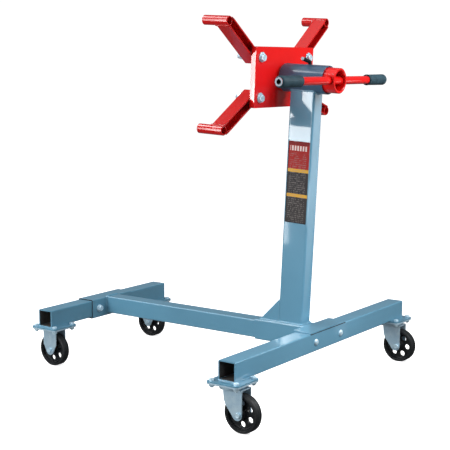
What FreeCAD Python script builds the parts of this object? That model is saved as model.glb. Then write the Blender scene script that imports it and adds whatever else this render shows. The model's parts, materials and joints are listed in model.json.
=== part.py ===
import FreeCAD, Part
import math
import os

from FreeCAD import Placement, Rotation, Vector

# Rotating-head engine stand on four casters, all dimensions in millimetres.
# X runs along the two cross tubes, +Y points at the person holding the handle,
# +Z is up.  The origin is on the floor under the middle of the overall box.
# "left" is +X and "right" is -X, as seen by the person at the handle looking forward.

# --- Wheels and casters ---------------------------------------------------------
WHEEL_RADIUS = 49.0
TYRE_INNER_RADIUS = 41.5
TYRE_WIDTH = 24.0
TYRE_SHOULDER = 4.0
RIM_WIDTH = 21.0
RIM_INNER_RADIUS = 38.0
WEB_THICKNESS = 8.0
HUB_RADIUS = 13.0
HUB_LENGTH = 34.0
WEB_HOLE_COUNT = 6
WEB_HOLE_RADIUS = 8.0
WEB_HOLE_CIRCLE = 26.5
WHEEL_ANGLES = {
    "rear_left": -88.0,
    "rear_right": -65.0,
    "front_left": -98.0,
    "front_right": -63.0,
}
AXLE_RADIUS = 4.0
AXLE_FIT = 0.08
FORK_INNER_HALF_GAP = 18.0
FORK_SHEET = 3.0
CASTER_PLATE_X = 96.0
CASTER_PLATE_Y = 95.0
CASTER_PLATE_THICKNESS = 4.0
CASTER_PLATE_CORNER = 9.0
CASTER_BOLT_OFFSET = 36.5
CASTER_BOLT_RADIUS = 4.0
CASTER_BOLT_FLATS = 13.0
CASTER_BOLT_HEAD = 5.3
CASTER_BOLT_LENGTH = 17.5
CASTER_NUT_HEIGHT = 6.5
HOLE_CLEARANCE = 0.4
SWIVEL_TRAIL = 31.0
CROWN_RADIUS = 33.0
CROWN_BACK = 41.0
RACE_INNER_RADIUS = 19.0
RACE_OUTER_RADIUS = 30.0
RACE_DEPTH = 2.7
BALL_RADIUS = 3.0
BALL_COUNT = 18
BALL_CIRCLE = 24.5
BALL_GAP = 0.05
SKIRT_WALL = 2.0
SKIRT_HEIGHT = 4.6
KINGPIN_RADIUS = 6.0
KINGPIN_FIT = 0.08
KINGPIN_HEAD_RADIUS = 11.0
KINGPIN_HEAD_HEIGHT = 5.0
KINGPIN_HEAD_GAP = 0.3

# --- Base frame -----------------------------------------------------------------
TUBE = 50.8
TUBE_WALL = 3.2
TUBE_CORNER = 3.5
PAD_THICKNESS = 4.0
REAR_BEAM_LENGTH = 878.0
REAR_BEAM_BOTTOM = 129.0
REAR_CASTER_X = 414.0
FRONT_BAR_LENGTH = 528.0
FRONT_BAR_BOTTOM = 122.0
FRONT_CASTER_X = 227.0
WHEELBASE_TUBES = 782.0
SLEEVE_WALL = 3.0
SLEEVE_PLAY = 0.5
SLEEVE_LENGTH = 180.0
SPINE_BOTTOM = 126.5
SOCKET_FRONT = 197.0
SPINE_END_GAP = 5.0
BRACKET_LENGTH = 184.0
BRACKET_THICKNESS = 4.5
FRAME_BOLT_RADIUS = 5.0
BEAM_BOLT_X = 65.0
BEAM_BOLT_HEAD_RADIUS = 9.0
BEAM_BOLT_HEAD_HEIGHT = 5.5
SLEEVE_BOLT_X = 60.0
FRAME_BOLT_FLATS = 16.0
FRAME_NUT_HEIGHT = 8.0
FRAME_BOLT_TIP = 5.0
FRAME_WASHER_RADIUS = 11.0
FRAME_WASHER_THICKNESS = 2.0

# --- Mast -----------------------------------------------------------------------
LEAN_DEGREES = 3.0
MAST_FOOT_OFFSET = 85.6
MAST_WIDTH_X = 45.0
MAST_DEPTH_Y = 76.0
MAST_WALL = 3.0
MAST_CORNER = 5.0
GUSSET_HEIGHT = 62.0
GUSSET_REACH = 55.0
GUSSET_SHEET = 3.0
LABEL_WIDTH = 67.0
LABEL_BOTTOM = 281.0
LABEL_TOP = 503.0
LABEL_THICKNESS = 0.3
LABEL_CORNER = 2.0

# --- Rotating head --------------------------------------------------------------
HEAD_HEIGHT = 669.5
HOUSING_RADIUS = 38.0
HOUSING_LENGTH = 133.0
HOUSING_LIP_CHAMFER = 2.5
HEAD_TUBE_RADIUS = 33.4
HEAD_TUBE_WALL = 6.4
HEAD_TUBE_FIT = 0.1
HEAD_TUBE_BACK = 101.2
PLATE_BACK = -71.8
PLATE_THICKNESS = 14.0
PLATE_WIDTH = 284.0
PLATE_HEIGHT = 160.0
PLATE_CORNER = 4.0
ARM_BOLT_X = 115.0
ARM_BOLT_Z = 53.0
ARM_BOLT_RADIUS = 6.0
ARM_BOLT_FLATS = 18.0
ARM_BOLT_HEAD = 7.5
ARM_BOLT_TIP = 75.0
ARM_NUT_HEIGHT = 10.0
ARM_WASHER_RADIUS = 13.5
ARM_WASHER_THICKNESS = 2.5
ARM_BOLT_FIT = 0.1
NUT_FIT = 0.1
ARM_REACH = 155.0
ARM_TAIL = 13.0
ARM_CHANNEL_END = 148.0
ARM_WIDTH = 28.0
ARM_DEPTH = 42.0
ARM_SHEET = 4.0
ARM_CORNER = 5.0
ARM_GAP = 0.2
ARM_TUBE_RADIUS = 12.7
ARM_TUBE_BORE = 9.5
ARM_TUBE_BACK = -89.2
ARM_TUBE_FRONT = -167.5
ARM_ANGLES = {
    "upper_left": 35.0,
    "upper_right": 141.0,
    "lower_left": -32.0,
    "lower_right": -162.0,
}

# --- Handle and lock pin --------------------------------------------------------
HANDLE_Y = 84.0
HANDLE_RADIUS = 11.0
HANDLE_BORE = 6.5
HANDLE_HALF_LENGTH = 269.0
HANDLE_FIT = 0.1
HANDLE_COUNTERSINK = 1.8
GRIP_RADIUS = 15.0
GRIP_LENGTH = 96.0
GRIP_END_INSET = 1.0
GRIP_EDGE = 3.0
LOCK_PIN_Y = 6.0
LOCK_PIN_RADIUS = 5.0
LOCK_PIN_FIT = 0.1
LOCK_PIN_TIP = 24.0
LOCK_PIN_BEND = 8.0
LOCK_PIN_ELBOW_HEIGHT = 45.0
LOCK_PIN_ARM_LENGTH = 34.0
LOCK_PIN_ARM_RISE = 12.0
INDEX_HOLE_COUNT = 12
INDEX_HOLE_RADIUS = 5.4

# --- Derived positions ----------------------------------------------------------
BEAM_Y = (WHEELBASE_TUBES + SWIVEL_TRAIL + 2 * WHEEL_RADIUS) / 2 - WHEEL_RADIUS - SWIVEL_TRAIL
FRONT_Y = BEAM_Y - WHEELBASE_TUBES
REAR_BEAM_MID = REAR_BEAM_BOTTOM + TUBE / 2
REAR_BEAM_TOP = REAR_BEAM_BOTTOM + TUBE
FRONT_BAR_MID = FRONT_BAR_BOTTOM + TUBE / 2
SLEEVE_SIZE = TUBE + 2 * SLEEVE_PLAY + 2 * SLEEVE_WALL
SLEEVE_MID = FRONT_BAR_MID - SLEEVE_PLAY
SPINE_MID = SPINE_BOTTOM + TUBE / 2
SOCKET_MID = SPINE_MID + SLEEVE_PLAY
SOCKET_TOP = SOCKET_MID + SLEEVE_SIZE / 2
BRACKET_FRONT = BEAM_Y - TUBE / 2 - BRACKET_THICKNESS
ARM_BACK = PLATE_BACK - PLATE_THICKNESS - ARM_GAP
ARM_FRONT = ARM_BACK - ARM_DEPTH
SIDES = {"left": 1, "right": -1}


def along_x(shape):
    """Lay a shape that was built along +Z down along +X."""
    return shape.transformed(Placement(Vector(), Rotation(Vector(0, 1, 0), 90)).toMatrix())


def along_minus_y(shape):
    """Lay a shape that was built along +Z down along -Y."""
    return shape.transformed(Placement(Vector(), Rotation(Vector(1, 0, 0), 90)).toMatrix())


def along_y(shape):
    """Lay a shape that was built along +Z down along +Y."""
    return shape.transformed(Placement(Vector(), Rotation(Vector(1, 0, 0), -90)).toMatrix())


def moved(shape, x=0.0, y=0.0, z=0.0):
    """Return a copy of the shape shifted by x, y, z."""
    return shape.transformed(Placement(Vector(x, y, z), Rotation()).toMatrix())


def on_mast(shape):
    """Carry a shape from the upright mast frame to the leaning mast on the base."""
    foot = Vector(0, BEAM_Y - MAST_FOOT_OFFSET, SOCKET_TOP)
    lean = Rotation(Vector(1, 0, 0), -LEAN_DEGREES)
    return shape.transformed(Placement(foot, lean).toMatrix())


def edges_parallel(shape, direction):
    """Straight edges of the shape that run along the given direction."""
    chosen = []
    for edge in shape.Edges:
        if edge.Curve.TypeId != "Part::GeomLine":
            continue
        if abs(edge.Curve.Direction.dot(direction)) > 0.999:
            chosen.append(edge)
    return chosen


def centred_bar(size_x, size_y, length, corner):
    """Bar along +Z from z = 0, centred on the axis, with rounded long edges."""
    bar = Part.makeBox(size_x, size_y, length, Vector(-size_x / 2, -size_y / 2, 0))
    return bar.makeFillet(corner, edges_parallel(bar, Vector(0, 0, 1)))


def hollow_section(size_x, size_y, length, wall, corner):
    """Rectangular tube along +Z from z = 0."""
    outer = centred_bar(size_x, size_y, length, corner)
    inner = centred_bar(size_x - 2 * wall, size_y - 2 * wall, length, max(corner - wall, 0.5))
    return outer.cut(inner)


def ring(outer_radius, inner_radius, length):
    """Round tube or washer along +Z from z = 0."""
    outer = Part.makeCylinder(outer_radius, length)
    return outer.cut(Part.makeCylinder(inner_radius, length))


def hexagon(flats, height):
    """Hexagon prism along +Z with its top corners turned off."""
    corner = flats / math.sqrt(3)
    points = []
    for step in range(7):
        angle = math.radians(60 * step)
        points.append(Vector(corner * math.cos(angle), corner * math.sin(angle), 0))
    prism = Part.Face(Part.makePolygon(points)).extrude(Vector(0, 0, height))
    envelope = Part.makeCylinder(corner, height)
    envelope = envelope.makeChamfer(0.12 * corner, [envelope.Edges[0]])
    return prism.common(envelope)


def hex_bolt(radius, length, flats, head_height):
    """Bolt with its head on +Z and its shank down -Z from the seating face at z = 0."""
    shank = Part.makeCylinder(radius, length, Vector(0, 0, -length))
    tip = [edge for edge in shank.Edges if abs(edge.BoundBox.ZMax + length) < 0.01]
    shank = shank.makeChamfer(0.2 * radius, tip)
    return shank.fuse(hexagon(flats, head_height)).removeSplitter()


def domed_bolt(radius, length, head_radius, head_height):
    """Round-headed bolt: a dome on +Z and a plain shank down -Z."""
    ball_radius = (head_radius ** 2 + head_height ** 2) / (2 * head_height)
    ball = Part.makeSphere(ball_radius, Vector(0, 0, head_height - ball_radius))
    dome = ball.common(Part.makeCylinder(head_radius, head_height))
    shank = Part.makeCylinder(radius, length, Vector(0, 0, -length))
    return shank.fuse(dome)


def hex_nut(radius, flats, height):
    """Nut along +Z from z = 0, bored to clear its bolt."""
    return hexagon(flats, height).cut(Part.makeCylinder(radius + NUT_FIT, height))


def rounded_plate(size_x, size_y, thickness, corner):
    """Flat plate centred on the axis, lying on z = 0."""
    return centred_bar(size_x, size_y, thickness, corner)


def turned(points):
    """Solid of revolution about X from a closed list of (x, radius) points."""
    outline = [Vector(x, radius, 0) for x, radius in points]
    outline.append(outline[0])
    face = Part.Face(Part.makePolygon(outline))
    return face.revolve(Vector(), Vector(1, 0, 0), 360)


# --- Base frame -----------------------------------------------------------------
def cross_hole(x, y, z, length):
    """Cutter along Y for a frame bolt."""
    hole = along_y(Part.makeCylinder(FRAME_BOLT_RADIUS + HOLE_CLEARANCE, length))
    return moved(hole, x, y - length / 2, z)


def rear_crossbeam():
    beam = along_x(hollow_section(TUBE, TUBE, REAR_BEAM_LENGTH, TUBE_WALL, TUBE_CORNER))
    beam = moved(beam, -REAR_BEAM_LENGTH / 2, BEAM_Y, REAR_BEAM_MID)
    for side in SIDES.values():
        beam = beam.cut(cross_hole(side * BEAM_BOLT_X, BEAM_Y, REAR_BEAM_MID, 2 * TUBE))
    return beam


def front_crossbar():
    bar = along_x(hollow_section(TUBE, TUBE, FRONT_BAR_LENGTH, TUBE_WALL, TUBE_CORNER))
    bar = moved(bar, -FRONT_BAR_LENGTH / 2, FRONT_Y, FRONT_BAR_MID)
    for side in SIDES.values():
        bar = bar.cut(cross_hole(side * SLEEVE_BOLT_X, FRONT_Y, SLEEVE_MID, 2 * TUBE))
    return bar


def front_sleeve():
    """Short box sleeve that the front crossbar passes through."""
    sleeve = along_x(hollow_section(SLEEVE_SIZE, SLEEVE_SIZE, SLEEVE_LENGTH, SLEEVE_WALL, TUBE_CORNER))
    sleeve = moved(sleeve, -SLEEVE_LENGTH / 2, FRONT_Y, SLEEVE_MID)
    for side in SIDES.values():
        sleeve = sleeve.cut(cross_hole(side * SLEEVE_BOLT_X, FRONT_Y, SLEEVE_MID, 2 * TUBE))
    return sleeve


def spine_tube():
    """Long tube from the front sleeve into the rear socket."""
    start = FRONT_Y + SLEEVE_SIZE / 2
    end = BRACKET_FRONT - SPINE_END_GAP
    spine = along_y(hollow_section(TUBE, TUBE, end - start, TUBE_WALL, TUBE_CORNER))
    return moved(spine, 0, start, SPINE_MID)


def rear_socket():
    """Box socket under the mast that takes the rear end of the spine."""
    start = BEAM_Y - SOCKET_FRONT
    length = BRACKET_FRONT - start
    socket = along_y(hollow_section(SLEEVE_SIZE, SLEEVE_SIZE, length, SLEEVE_WALL, TUBE_CORNER))
    return moved(socket, 0, start, SOCKET_MID)


def saddle_bracket():
    """Angle bracket: one leg on top of the crossbeam, the other down its front face."""
    top_z = REAR_BEAM_TOP + BRACKET_THICKNESS
    depth = BEAM_Y + TUBE / 2 - BRACKET_FRONT
    corner = Vector(-BRACKET_LENGTH / 2, BRACKET_FRONT, REAR_BEAM_TOP)
    top_leg = Part.makeBox(BRACKET_LENGTH, depth, BRACKET_THICKNESS, corner)
    foot = Vector(-BRACKET_LENGTH / 2, BRACKET_FRONT, REAR_BEAM_BOTTOM)
    front_leg = Part.makeBox(BRACKET_LENGTH, BRACKET_THICKNESS, top_z - REAR_BEAM_BOTTOM, foot)
    bracket = top_leg.fuse(front_leg).removeSplitter()
    for side in SIDES.values():
        bracket = bracket.cut(cross_hole(side * BEAM_BOLT_X, BRACKET_FRONT, REAR_BEAM_MID, TUBE / 2))
    return bracket


def beam_bolts():
    """Two round-headed bolts through the crossbeam and the saddle bracket."""
    length = TUBE + BRACKET_THICKNESS + FRAME_NUT_HEIGHT + FRAME_BOLT_TIP
    bolt = along_y(domed_bolt(FRAME_BOLT_RADIUS, length, BEAM_BOLT_HEAD_RADIUS, BEAM_BOLT_HEAD_HEIGHT))
    back = BEAM_Y + TUBE / 2
    return [moved(bolt, side * BEAM_BOLT_X, back, REAR_BEAM_MID) for side in SIDES.values()]


def beam_nuts():
    nut = along_minus_y(hex_nut(FRAME_BOLT_RADIUS, FRAME_BOLT_FLATS, FRAME_NUT_HEIGHT))
    return [moved(nut, side * BEAM_BOLT_X, BRACKET_FRONT, REAR_BEAM_MID) for side in SIDES.values()]


def sleeve_bolts():
    """Two bolts that hold the front crossbar in its sleeve."""
    length = SLEEVE_SIZE + FRAME_WASHER_THICKNESS + FRAME_NUT_HEIGHT + FRAME_BOLT_TIP
    bolt = along_y(hex_bolt(FRAME_BOLT_RADIUS, length, FRAME_BOLT_FLATS, FRAME_NUT_HEIGHT))
    back = FRONT_Y + SLEEVE_SIZE / 2 + FRAME_WASHER_THICKNESS
    return [moved(bolt, side * SLEEVE_BOLT_X, back, SLEEVE_MID) for side in SIDES.values()]


def sleeve_washers():
    inner = FRAME_BOLT_RADIUS + HOLE_CLEARANCE
    washer = along_y(ring(FRAME_WASHER_RADIUS, inner, FRAME_WASHER_THICKNESS))
    back = FRONT_Y + SLEEVE_SIZE / 2
    return [moved(washer, side * SLEEVE_BOLT_X, back, SLEEVE_MID) for side in SIDES.values()]


def sleeve_nuts():
    nut = along_minus_y(hex_nut(FRAME_BOLT_RADIUS, FRAME_BOLT_FLATS, FRAME_NUT_HEIGHT))
    front = FRONT_Y - SLEEVE_SIZE / 2
    return [moved(nut, side * SLEEVE_BOLT_X, front, SLEEVE_MID) for side in SIDES.values()]


# --- Caster mounting --------------------------------------------------------------
def caster_places():
    """Name, x, y and underside height of the tube above each caster."""
    places = []
    for name, side in SIDES.items():
        places.append(("rear_" + name, side * REAR_CASTER_X, BEAM_Y, REAR_BEAM_BOTTOM))
    for name, side in SIDES.items():
        places.append(("front_" + name, side * FRONT_CASTER_X, FRONT_Y, FRONT_BAR_BOTTOM))
    return places


def bolt_corners():
    """The four bolt positions of a caster plate."""
    corners = []
    for side_x in (1, -1):
        for side_y in (1, -1):
            corners.append((side_x * CASTER_BOLT_OFFSET, side_y * CASTER_BOLT_OFFSET))
    return corners


def bolted_plate(thickness):
    """Square plate with rounded corners and four bolt holes, lying on z = 0."""
    plate = rounded_plate(CASTER_PLATE_X, CASTER_PLATE_Y, thickness, CASTER_PLATE_CORNER)
    hole = Part.makeCylinder(CASTER_BOLT_RADIUS + HOLE_CLEARANCE, thickness)
    for x, y in bolt_corners():
        plate = plate.cut(moved(hole, x, y))
    return plate


def caster_bolts():
    """All sixteen bolts, heads on top of the welded pads."""
    bolt = hex_bolt(CASTER_BOLT_RADIUS, CASTER_BOLT_LENGTH, CASTER_BOLT_FLATS, CASTER_BOLT_HEAD)
    bolts = []
    for _, x, y, bottom in caster_places():
        for dx, dy in bolt_corners():
            bolts.append(moved(bolt, x + dx, y + dy, bottom))
    return bolts


def caster_nuts():
    """All sixteen nuts, under the caster plates."""
    nut = hex_nut(CASTER_BOLT_RADIUS, CASTER_BOLT_FLATS, CASTER_NUT_HEIGHT)
    nut = nut.transformed(Placement(Vector(), Rotation(Vector(1, 0, 0), 180)).toMatrix())
    nuts = []
    for _, x, y, bottom in caster_places():
        plate_bottom = bottom - PAD_THICKNESS - CASTER_PLATE_THICKNESS
        for dx, dy in bolt_corners():
            nuts.append(moved(nut, x + dx, y + dy, plate_bottom))
    return nuts


# --- Swivel casters (rear) ------------------------------------------------------
# These are built around the swivel axis, with z measured from the floor.
SWIVEL_PLATE_BOTTOM = REAR_BEAM_BOTTOM - PAD_THICKNESS - CASTER_PLATE_THICKNESS
RACE_BOTTOM = SWIVEL_PLATE_BOTTOM - RACE_DEPTH
CROWN_TOP = RACE_BOTTOM - 2 * BALL_RADIUS - 2 * BALL_GAP
CROWN_BOTTOM = CROWN_TOP - FORK_SHEET


def swivel_plate():
    plate = moved(bolted_plate(CASTER_PLATE_THICKNESS), 0, 0, SWIVEL_PLATE_BOTTOM)
    race = moved(ring(RACE_OUTER_RADIUS, RACE_INNER_RADIUS, RACE_DEPTH), 0, 0, RACE_BOTTOM)
    pin_hole = Part.makeCylinder(KINGPIN_RADIUS, CASTER_PLATE_THICKNESS, Vector(0, 0, SWIVEL_PLATE_BOTTOM))
    return plate.fuse(race).removeSplitter().cut(pin_hole)


def kingpin():
    """Rivet that the fork turns on, fixed in the swivel plate."""
    head_top = CROWN_BOTTOM - KINGPIN_HEAD_GAP
    top = SWIVEL_PLATE_BOTTOM + CASTER_PLATE_THICKNESS
    shank = Part.makeCylinder(KINGPIN_RADIUS, top - head_top, Vector(0, 0, head_top))
    head_base = Vector(0, 0, head_top - KINGPIN_HEAD_HEIGHT)
    head = Part.makeCylinder(KINGPIN_HEAD_RADIUS, KINGPIN_HEAD_HEIGHT, head_base)
    rim = [edge for edge in head.Edges if abs(edge.BoundBox.ZMax - head_base.z) < 0.01]
    head = head.makeChamfer(1.5, rim)
    return shank.fuse(head)


def swivel_balls():
    balls = []
    height = RACE_BOTTOM - BALL_RADIUS - BALL_GAP
    for side in SIDES.values():
        for index in range(BALL_COUNT):
            angle = 2 * math.pi * index / BALL_COUNT
            x = side * REAR_CASTER_X + BALL_CIRCLE * math.cos(angle)
            y = BEAM_Y + BALL_CIRCLE * math.sin(angle)
            balls.append(Part.makeSphere(BALL_RADIUS, Vector(x, y, height)))
    return balls


def leg_from_outline(points, tip_middle, tip_index):
    """Fork leg in the YZ plane; the tip between two outline points is an arc."""
    vertices = [Vector(0, y, z) for y, z in points]
    edges = []
    for index, start in enumerate(vertices):
        end = vertices[(index + 1) % len(vertices)]
        if index == tip_index:
            edges.append(Part.Arc(start, Vector(0, *tip_middle), end).toShape())
        else:
            edges.append(Part.LineSegment(start, end).toShape())
    return Part.Face(Part.Wire(edges)).extrude(Vector(FORK_SHEET, 0, 0))


def both_legs(leg):
    """Place a leg on each side of the wheel."""
    outer = moved(leg, FORK_INNER_HALF_GAP)
    other = moved(leg, -FORK_INNER_HALF_GAP - FORK_SHEET)
    return outer.fuse(other)


def axle_hole(y):
    length = 2 * (FORK_INNER_HALF_GAP + FORK_SHEET) + 2
    hole = along_x(Part.makeCylinder(AXLE_RADIUS + AXLE_FIT, length))
    return moved(hole, -length / 2, y, WHEEL_RADIUS)


def swivel_fork():
    """Crown with a dust skirt round the balls and two legs that trail backwards."""
    outline = [(-15, CROWN_TOP), (-12, 82), (-7, 70), (14, 43), (41, 47), (CROWN_BACK, CROWN_TOP)]
    legs = both_legs(leg_from_outline(outline, (30, 35), 3))
    crown = Part.makeCylinder(CROWN_RADIUS, FORK_SHEET, Vector(0, 0, CROWN_BOTTOM))
    half_width = FORK_INNER_HALF_GAP + FORK_SHEET
    shelf = Part.makeBox(2 * half_width, CROWN_BACK, FORK_SHEET, Vector(-half_width, 0, CROWN_BOTTOM))
    skirt = ring(CROWN_RADIUS, CROWN_RADIUS - SKIRT_WALL, SKIRT_HEIGHT)
    fork = crown.fuse([shelf, legs, moved(skirt, 0, 0, CROWN_TOP)]).removeSplitter()
    pin_hole = Part.makeCylinder(KINGPIN_RADIUS + KINGPIN_FIT, FORK_SHEET, Vector(0, 0, CROWN_BOTTOM))
    return fork.cut(pin_hole).cut(axle_hole(SWIVEL_TRAIL))


# --- Rigid casters (front) ------------------------------------------------------
def rigid_fork():
    """One pressing: bolted plate with two straight legs."""
    top = FRONT_BAR_BOTTOM - PAD_THICKNESS
    bottom = top - CASTER_PLATE_THICKNESS
    outline = [(-25, bottom), (-25, 66), (-12.5, 42), (12.5, 42), (25, 66), (25, bottom)]
    legs = both_legs(leg_from_outline(outline, (0, 34.5), 2))
    plate = moved(bolted_plate(CASTER_PLATE_THICKNESS), 0, 0, bottom)
    return plate.fuse(legs).removeSplitter().cut(axle_hole(0))


# --- Wheels ---------------------------------------------------------------------
# Built around the axle, along X.
def axle_bolt():
    """Axle bolt, head on the left face of the fork."""
    half = FORK_INNER_HALF_GAP + FORK_SHEET
    length = 2 * half + CASTER_NUT_HEIGHT + 2
    bolt = hex_bolt(AXLE_RADIUS, length, CASTER_BOLT_FLATS, CASTER_BOLT_HEAD)
    return moved(along_x(bolt), half)


def axle_nut():
    half = FORK_INNER_HALF_GAP + FORK_SHEET
    nut = along_x(hex_nut(AXLE_RADIUS, CASTER_BOLT_FLATS, CASTER_NUT_HEIGHT))
    return moved(nut, -half - CASTER_NUT_HEIGHT)


def wheel_core(name):
    """Hub, thin web with a ring of round holes, and rim; each wheel rests at its own angle."""
    bore = AXLE_RADIUS + AXLE_FIT
    hub = HUB_LENGTH / 2
    web = WEB_THICKNESS / 2
    rim = RIM_WIDTH / 2
    half = [
        (hub, bore),
        (hub, HUB_RADIUS - 2),
        (hub - 2, HUB_RADIUS),
        (web + 1.5, HUB_RADIUS + 2),
        (web, HUB_RADIUS + 5),
        (web, RIM_INNER_RADIUS - 2),
        (web + 2, RIM_INNER_RADIUS - 0.5),
        (rim, RIM_INNER_RADIUS),
        (rim, TYRE_INNER_RADIUS),
    ]
    mirrored = [(-x, radius) for x, radius in reversed(half)]
    core = turned(half + mirrored)
    hole = moved(along_x(Part.makeCylinder(WEB_HOLE_RADIUS, TYRE_WIDTH)), -TYRE_WIDTH / 2)
    for index in range(WEB_HOLE_COUNT):
        angle = math.radians(WHEEL_ANGLES[name] + 360 * index / WEB_HOLE_COUNT)
        y = WEB_HOLE_CIRCLE * math.cos(angle)
        z = WEB_HOLE_CIRCLE * math.sin(angle)
        core = core.cut(moved(hole, 0, y, z))
    return core


def tyre():
    """Solid tyre with rounded shoulders."""
    half = TYRE_WIDTH / 2
    body = along_x(ring(WHEEL_RADIUS, TYRE_INNER_RADIUS, TYRE_WIDTH))
    rims = [edge for edge in body.Edges if abs(edge.BoundBox.ZLength - 2 * WHEEL_RADIUS) < 0.1]
    shoulders = [edge for edge in rims if edge.BoundBox.XLength < 0.1]
    return moved(body.makeFillet(TYRE_SHOULDER, shoulders), -half)


# --- Mast (built upright, foot at the origin) -----------------------------------
def housing_void(radius):
    """Cylinder along Y on the head axis."""
    cutter = along_y(Part.makeCylinder(radius, 2 * HOUSING_LENGTH))
    return moved(cutter, 0, -HOUSING_LENGTH, HEAD_HEIGHT)


def level_cut(shape):
    """Remove whatever lies below the top of the rear socket."""
    size = 1000.0
    block = Part.makeBox(size, size, size, Vector(-size / 2, BEAM_Y - size, SOCKET_TOP - size))
    return shape.cut(block)


def mast_tube():
    """Leaning box mast, coped round the head housing and cut level on the socket."""
    below = 10.0
    mast = hollow_section(MAST_WIDTH_X, MAST_DEPTH_Y, HEAD_HEIGHT + below, MAST_WALL, MAST_CORNER)
    mast = moved(mast, 0, 0, -below).cut(housing_void(HOUSING_RADIUS))
    return level_cut(on_mast(mast))


def mast_gusset():
    """Folded gusset in front of the mast foot: two cheeks and a sloping face."""
    front = -MAST_DEPTH_Y / 2
    below = 8.0
    outline = [
        Vector(0, front, -below),
        Vector(0, front, GUSSET_HEIGHT),
        Vector(0, front - GUSSET_REACH - below, -below),
    ]
    outline.append(outline[0])
    wedge = Part.Face(Part.makePolygon(outline)).extrude(Vector(MAST_WIDTH_X, 0, 0))
    wedge = moved(wedge, -MAST_WIDTH_X / 2)
    pocket = Part.Face(Part.makePolygon(outline)).extrude(Vector(MAST_WIDTH_X - 2 * GUSSET_SHEET, 0, 0))
    slope = math.atan2(GUSSET_HEIGHT + below, GUSSET_REACH + below)
    pocket = moved(pocket, GUSSET_SHEET - MAST_WIDTH_X / 2, 0, -GUSSET_SHEET / math.cos(slope))
    return level_cut(on_mast(wedge.cut(pocket)))


def mast_label():
    """Thin decal on the left face of the mast."""
    height = LABEL_TOP - LABEL_BOTTOM
    sheet = rounded_plate(height, LABEL_WIDTH, LABEL_THICKNESS, LABEL_CORNER)
    return on_mast(moved(along_x(sheet), MAST_WIDTH_X / 2, 0, (LABEL_TOP + LABEL_BOTTOM) / 2))


def head_housing():
    """Round housing across the mast top; the head tube turns inside it."""
    inner = HEAD_TUBE_RADIUS + HEAD_TUBE_FIT
    body = along_y(ring(HOUSING_RADIUS, inner, HOUSING_LENGTH))
    lip = HOUSING_LIP_CHAMFER
    cone = along_y(Part.makeCone(inner, inner + lip, lip))
    body = body.cut(moved(cone, 0, HOUSING_LENGTH - lip, 0))
    pin_hole = Part.makeCylinder(LOCK_PIN_RADIUS + LOCK_PIN_FIT, HOUSING_RADIUS)
    body = body.cut(moved(pin_hole, 0, LOCK_PIN_Y + HOUSING_LENGTH / 2, 0))
    return on_mast(moved(body, 0, -HOUSING_LENGTH / 2, HEAD_HEIGHT))


# --- Rotating head (built in the upright mast frame) ----------------------------
def head_tube():
    """Tube behind the plate with a ring of index holes and a cross hole for the handle."""
    length = HEAD_TUBE_BACK - PLATE_BACK
    tube = along_y(ring(HEAD_TUBE_RADIUS, HEAD_TUBE_RADIUS - HEAD_TUBE_WALL, length))
    back = [edge for edge in tube.Edges if abs(edge.BoundBox.YMin - length) < 0.01]
    tube = moved(tube.makeChamfer(1.2, back), 0, PLATE_BACK, 0)
    index_hole = Part.makeCylinder(INDEX_HOLE_RADIUS, HEAD_TUBE_RADIUS + 1)
    for index in range(INDEX_HOLE_COUNT):
        turn = Rotation(Vector(0, 1, 0), 360.0 * index / INDEX_HOLE_COUNT)
        hole = index_hole.transformed(Placement(Vector(0, LOCK_PIN_Y, 0), turn).toMatrix())
        tube = tube.cut(hole)
    cross = along_x(Part.makeCylinder(HANDLE_RADIUS + HANDLE_FIT, 2 * HEAD_TUBE_RADIUS + 2))
    tube = tube.cut(moved(cross, -HEAD_TUBE_RADIUS - 1, HANDLE_Y, 0))
    mouth = HANDLE_RADIUS + HANDLE_FIT
    flare = HANDLE_COUNTERSINK
    cone = Part.makeCone(mouth, mouth + 2 * flare, 2 * flare)
    cone = moved(along_x(cone), HEAD_TUBE_RADIUS - 2 * flare, HANDLE_Y, 0)
    tube = tube.cut(cone)
    tube = tube.cut(cone.mirror(Vector(), Vector(1, 0, 0)))
    return on_mast(moved(tube, 0, 0, HEAD_HEIGHT))


def arm_bolt_places():
    """Bolt centre of each arm in the upright mast frame."""
    places = {}
    for name in ARM_ANGLES:
        x = ARM_BOLT_X if name.endswith("left") else -ARM_BOLT_X
        z = ARM_BOLT_Z if name.startswith("upper") else -ARM_BOLT_Z
        places[name] = (x, HEAD_HEIGHT + z)
    return places


def mounting_plate():
    plate = rounded_plate(PLATE_WIDTH, PLATE_HEIGHT, PLATE_THICKNESS, PLATE_CORNER)
    plate = moved(along_minus_y(plate), 0, PLATE_BACK, HEAD_HEIGHT)
    hole = along_minus_y(Part.makeCylinder(ARM_BOLT_RADIUS + ARM_BOLT_FIT, PLATE_THICKNESS))
    for x, z in arm_bolt_places().values():
        plate = plate.cut(moved(hole, x, PLATE_BACK, z))
    return on_mast(plate)


def arm_bolts():
    """Four long bolts that clamp the arms to the plate."""
    length = ARM_BOLT_TIP + ARM_WASHER_THICKNESS
    bolt = along_y(hex_bolt(ARM_BOLT_RADIUS, length, ARM_BOLT_FLATS, ARM_BOLT_HEAD))
    back = PLATE_BACK + ARM_WASHER_THICKNESS
    return [on_mast(moved(bolt, x, back, z)) for x, z in arm_bolt_places().values()]


def plate_washers():
    inner = ARM_BOLT_RADIUS + ARM_BOLT_FIT
    washer = along_y(ring(ARM_WASHER_RADIUS, inner, ARM_WASHER_THICKNESS))
    return [on_mast(moved(washer, x, PLATE_BACK, z)) for x, z in arm_bolt_places().values()]


def arm_nuts():
    nut = along_minus_y(hex_nut(ARM_BOLT_RADIUS, ARM_BOLT_FLATS, ARM_NUT_HEIGHT))
    front = ARM_FRONT - ARM_GAP
    return [on_mast(moved(nut, x, front, z)) for x, z in arm_bolt_places().values()]


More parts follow.
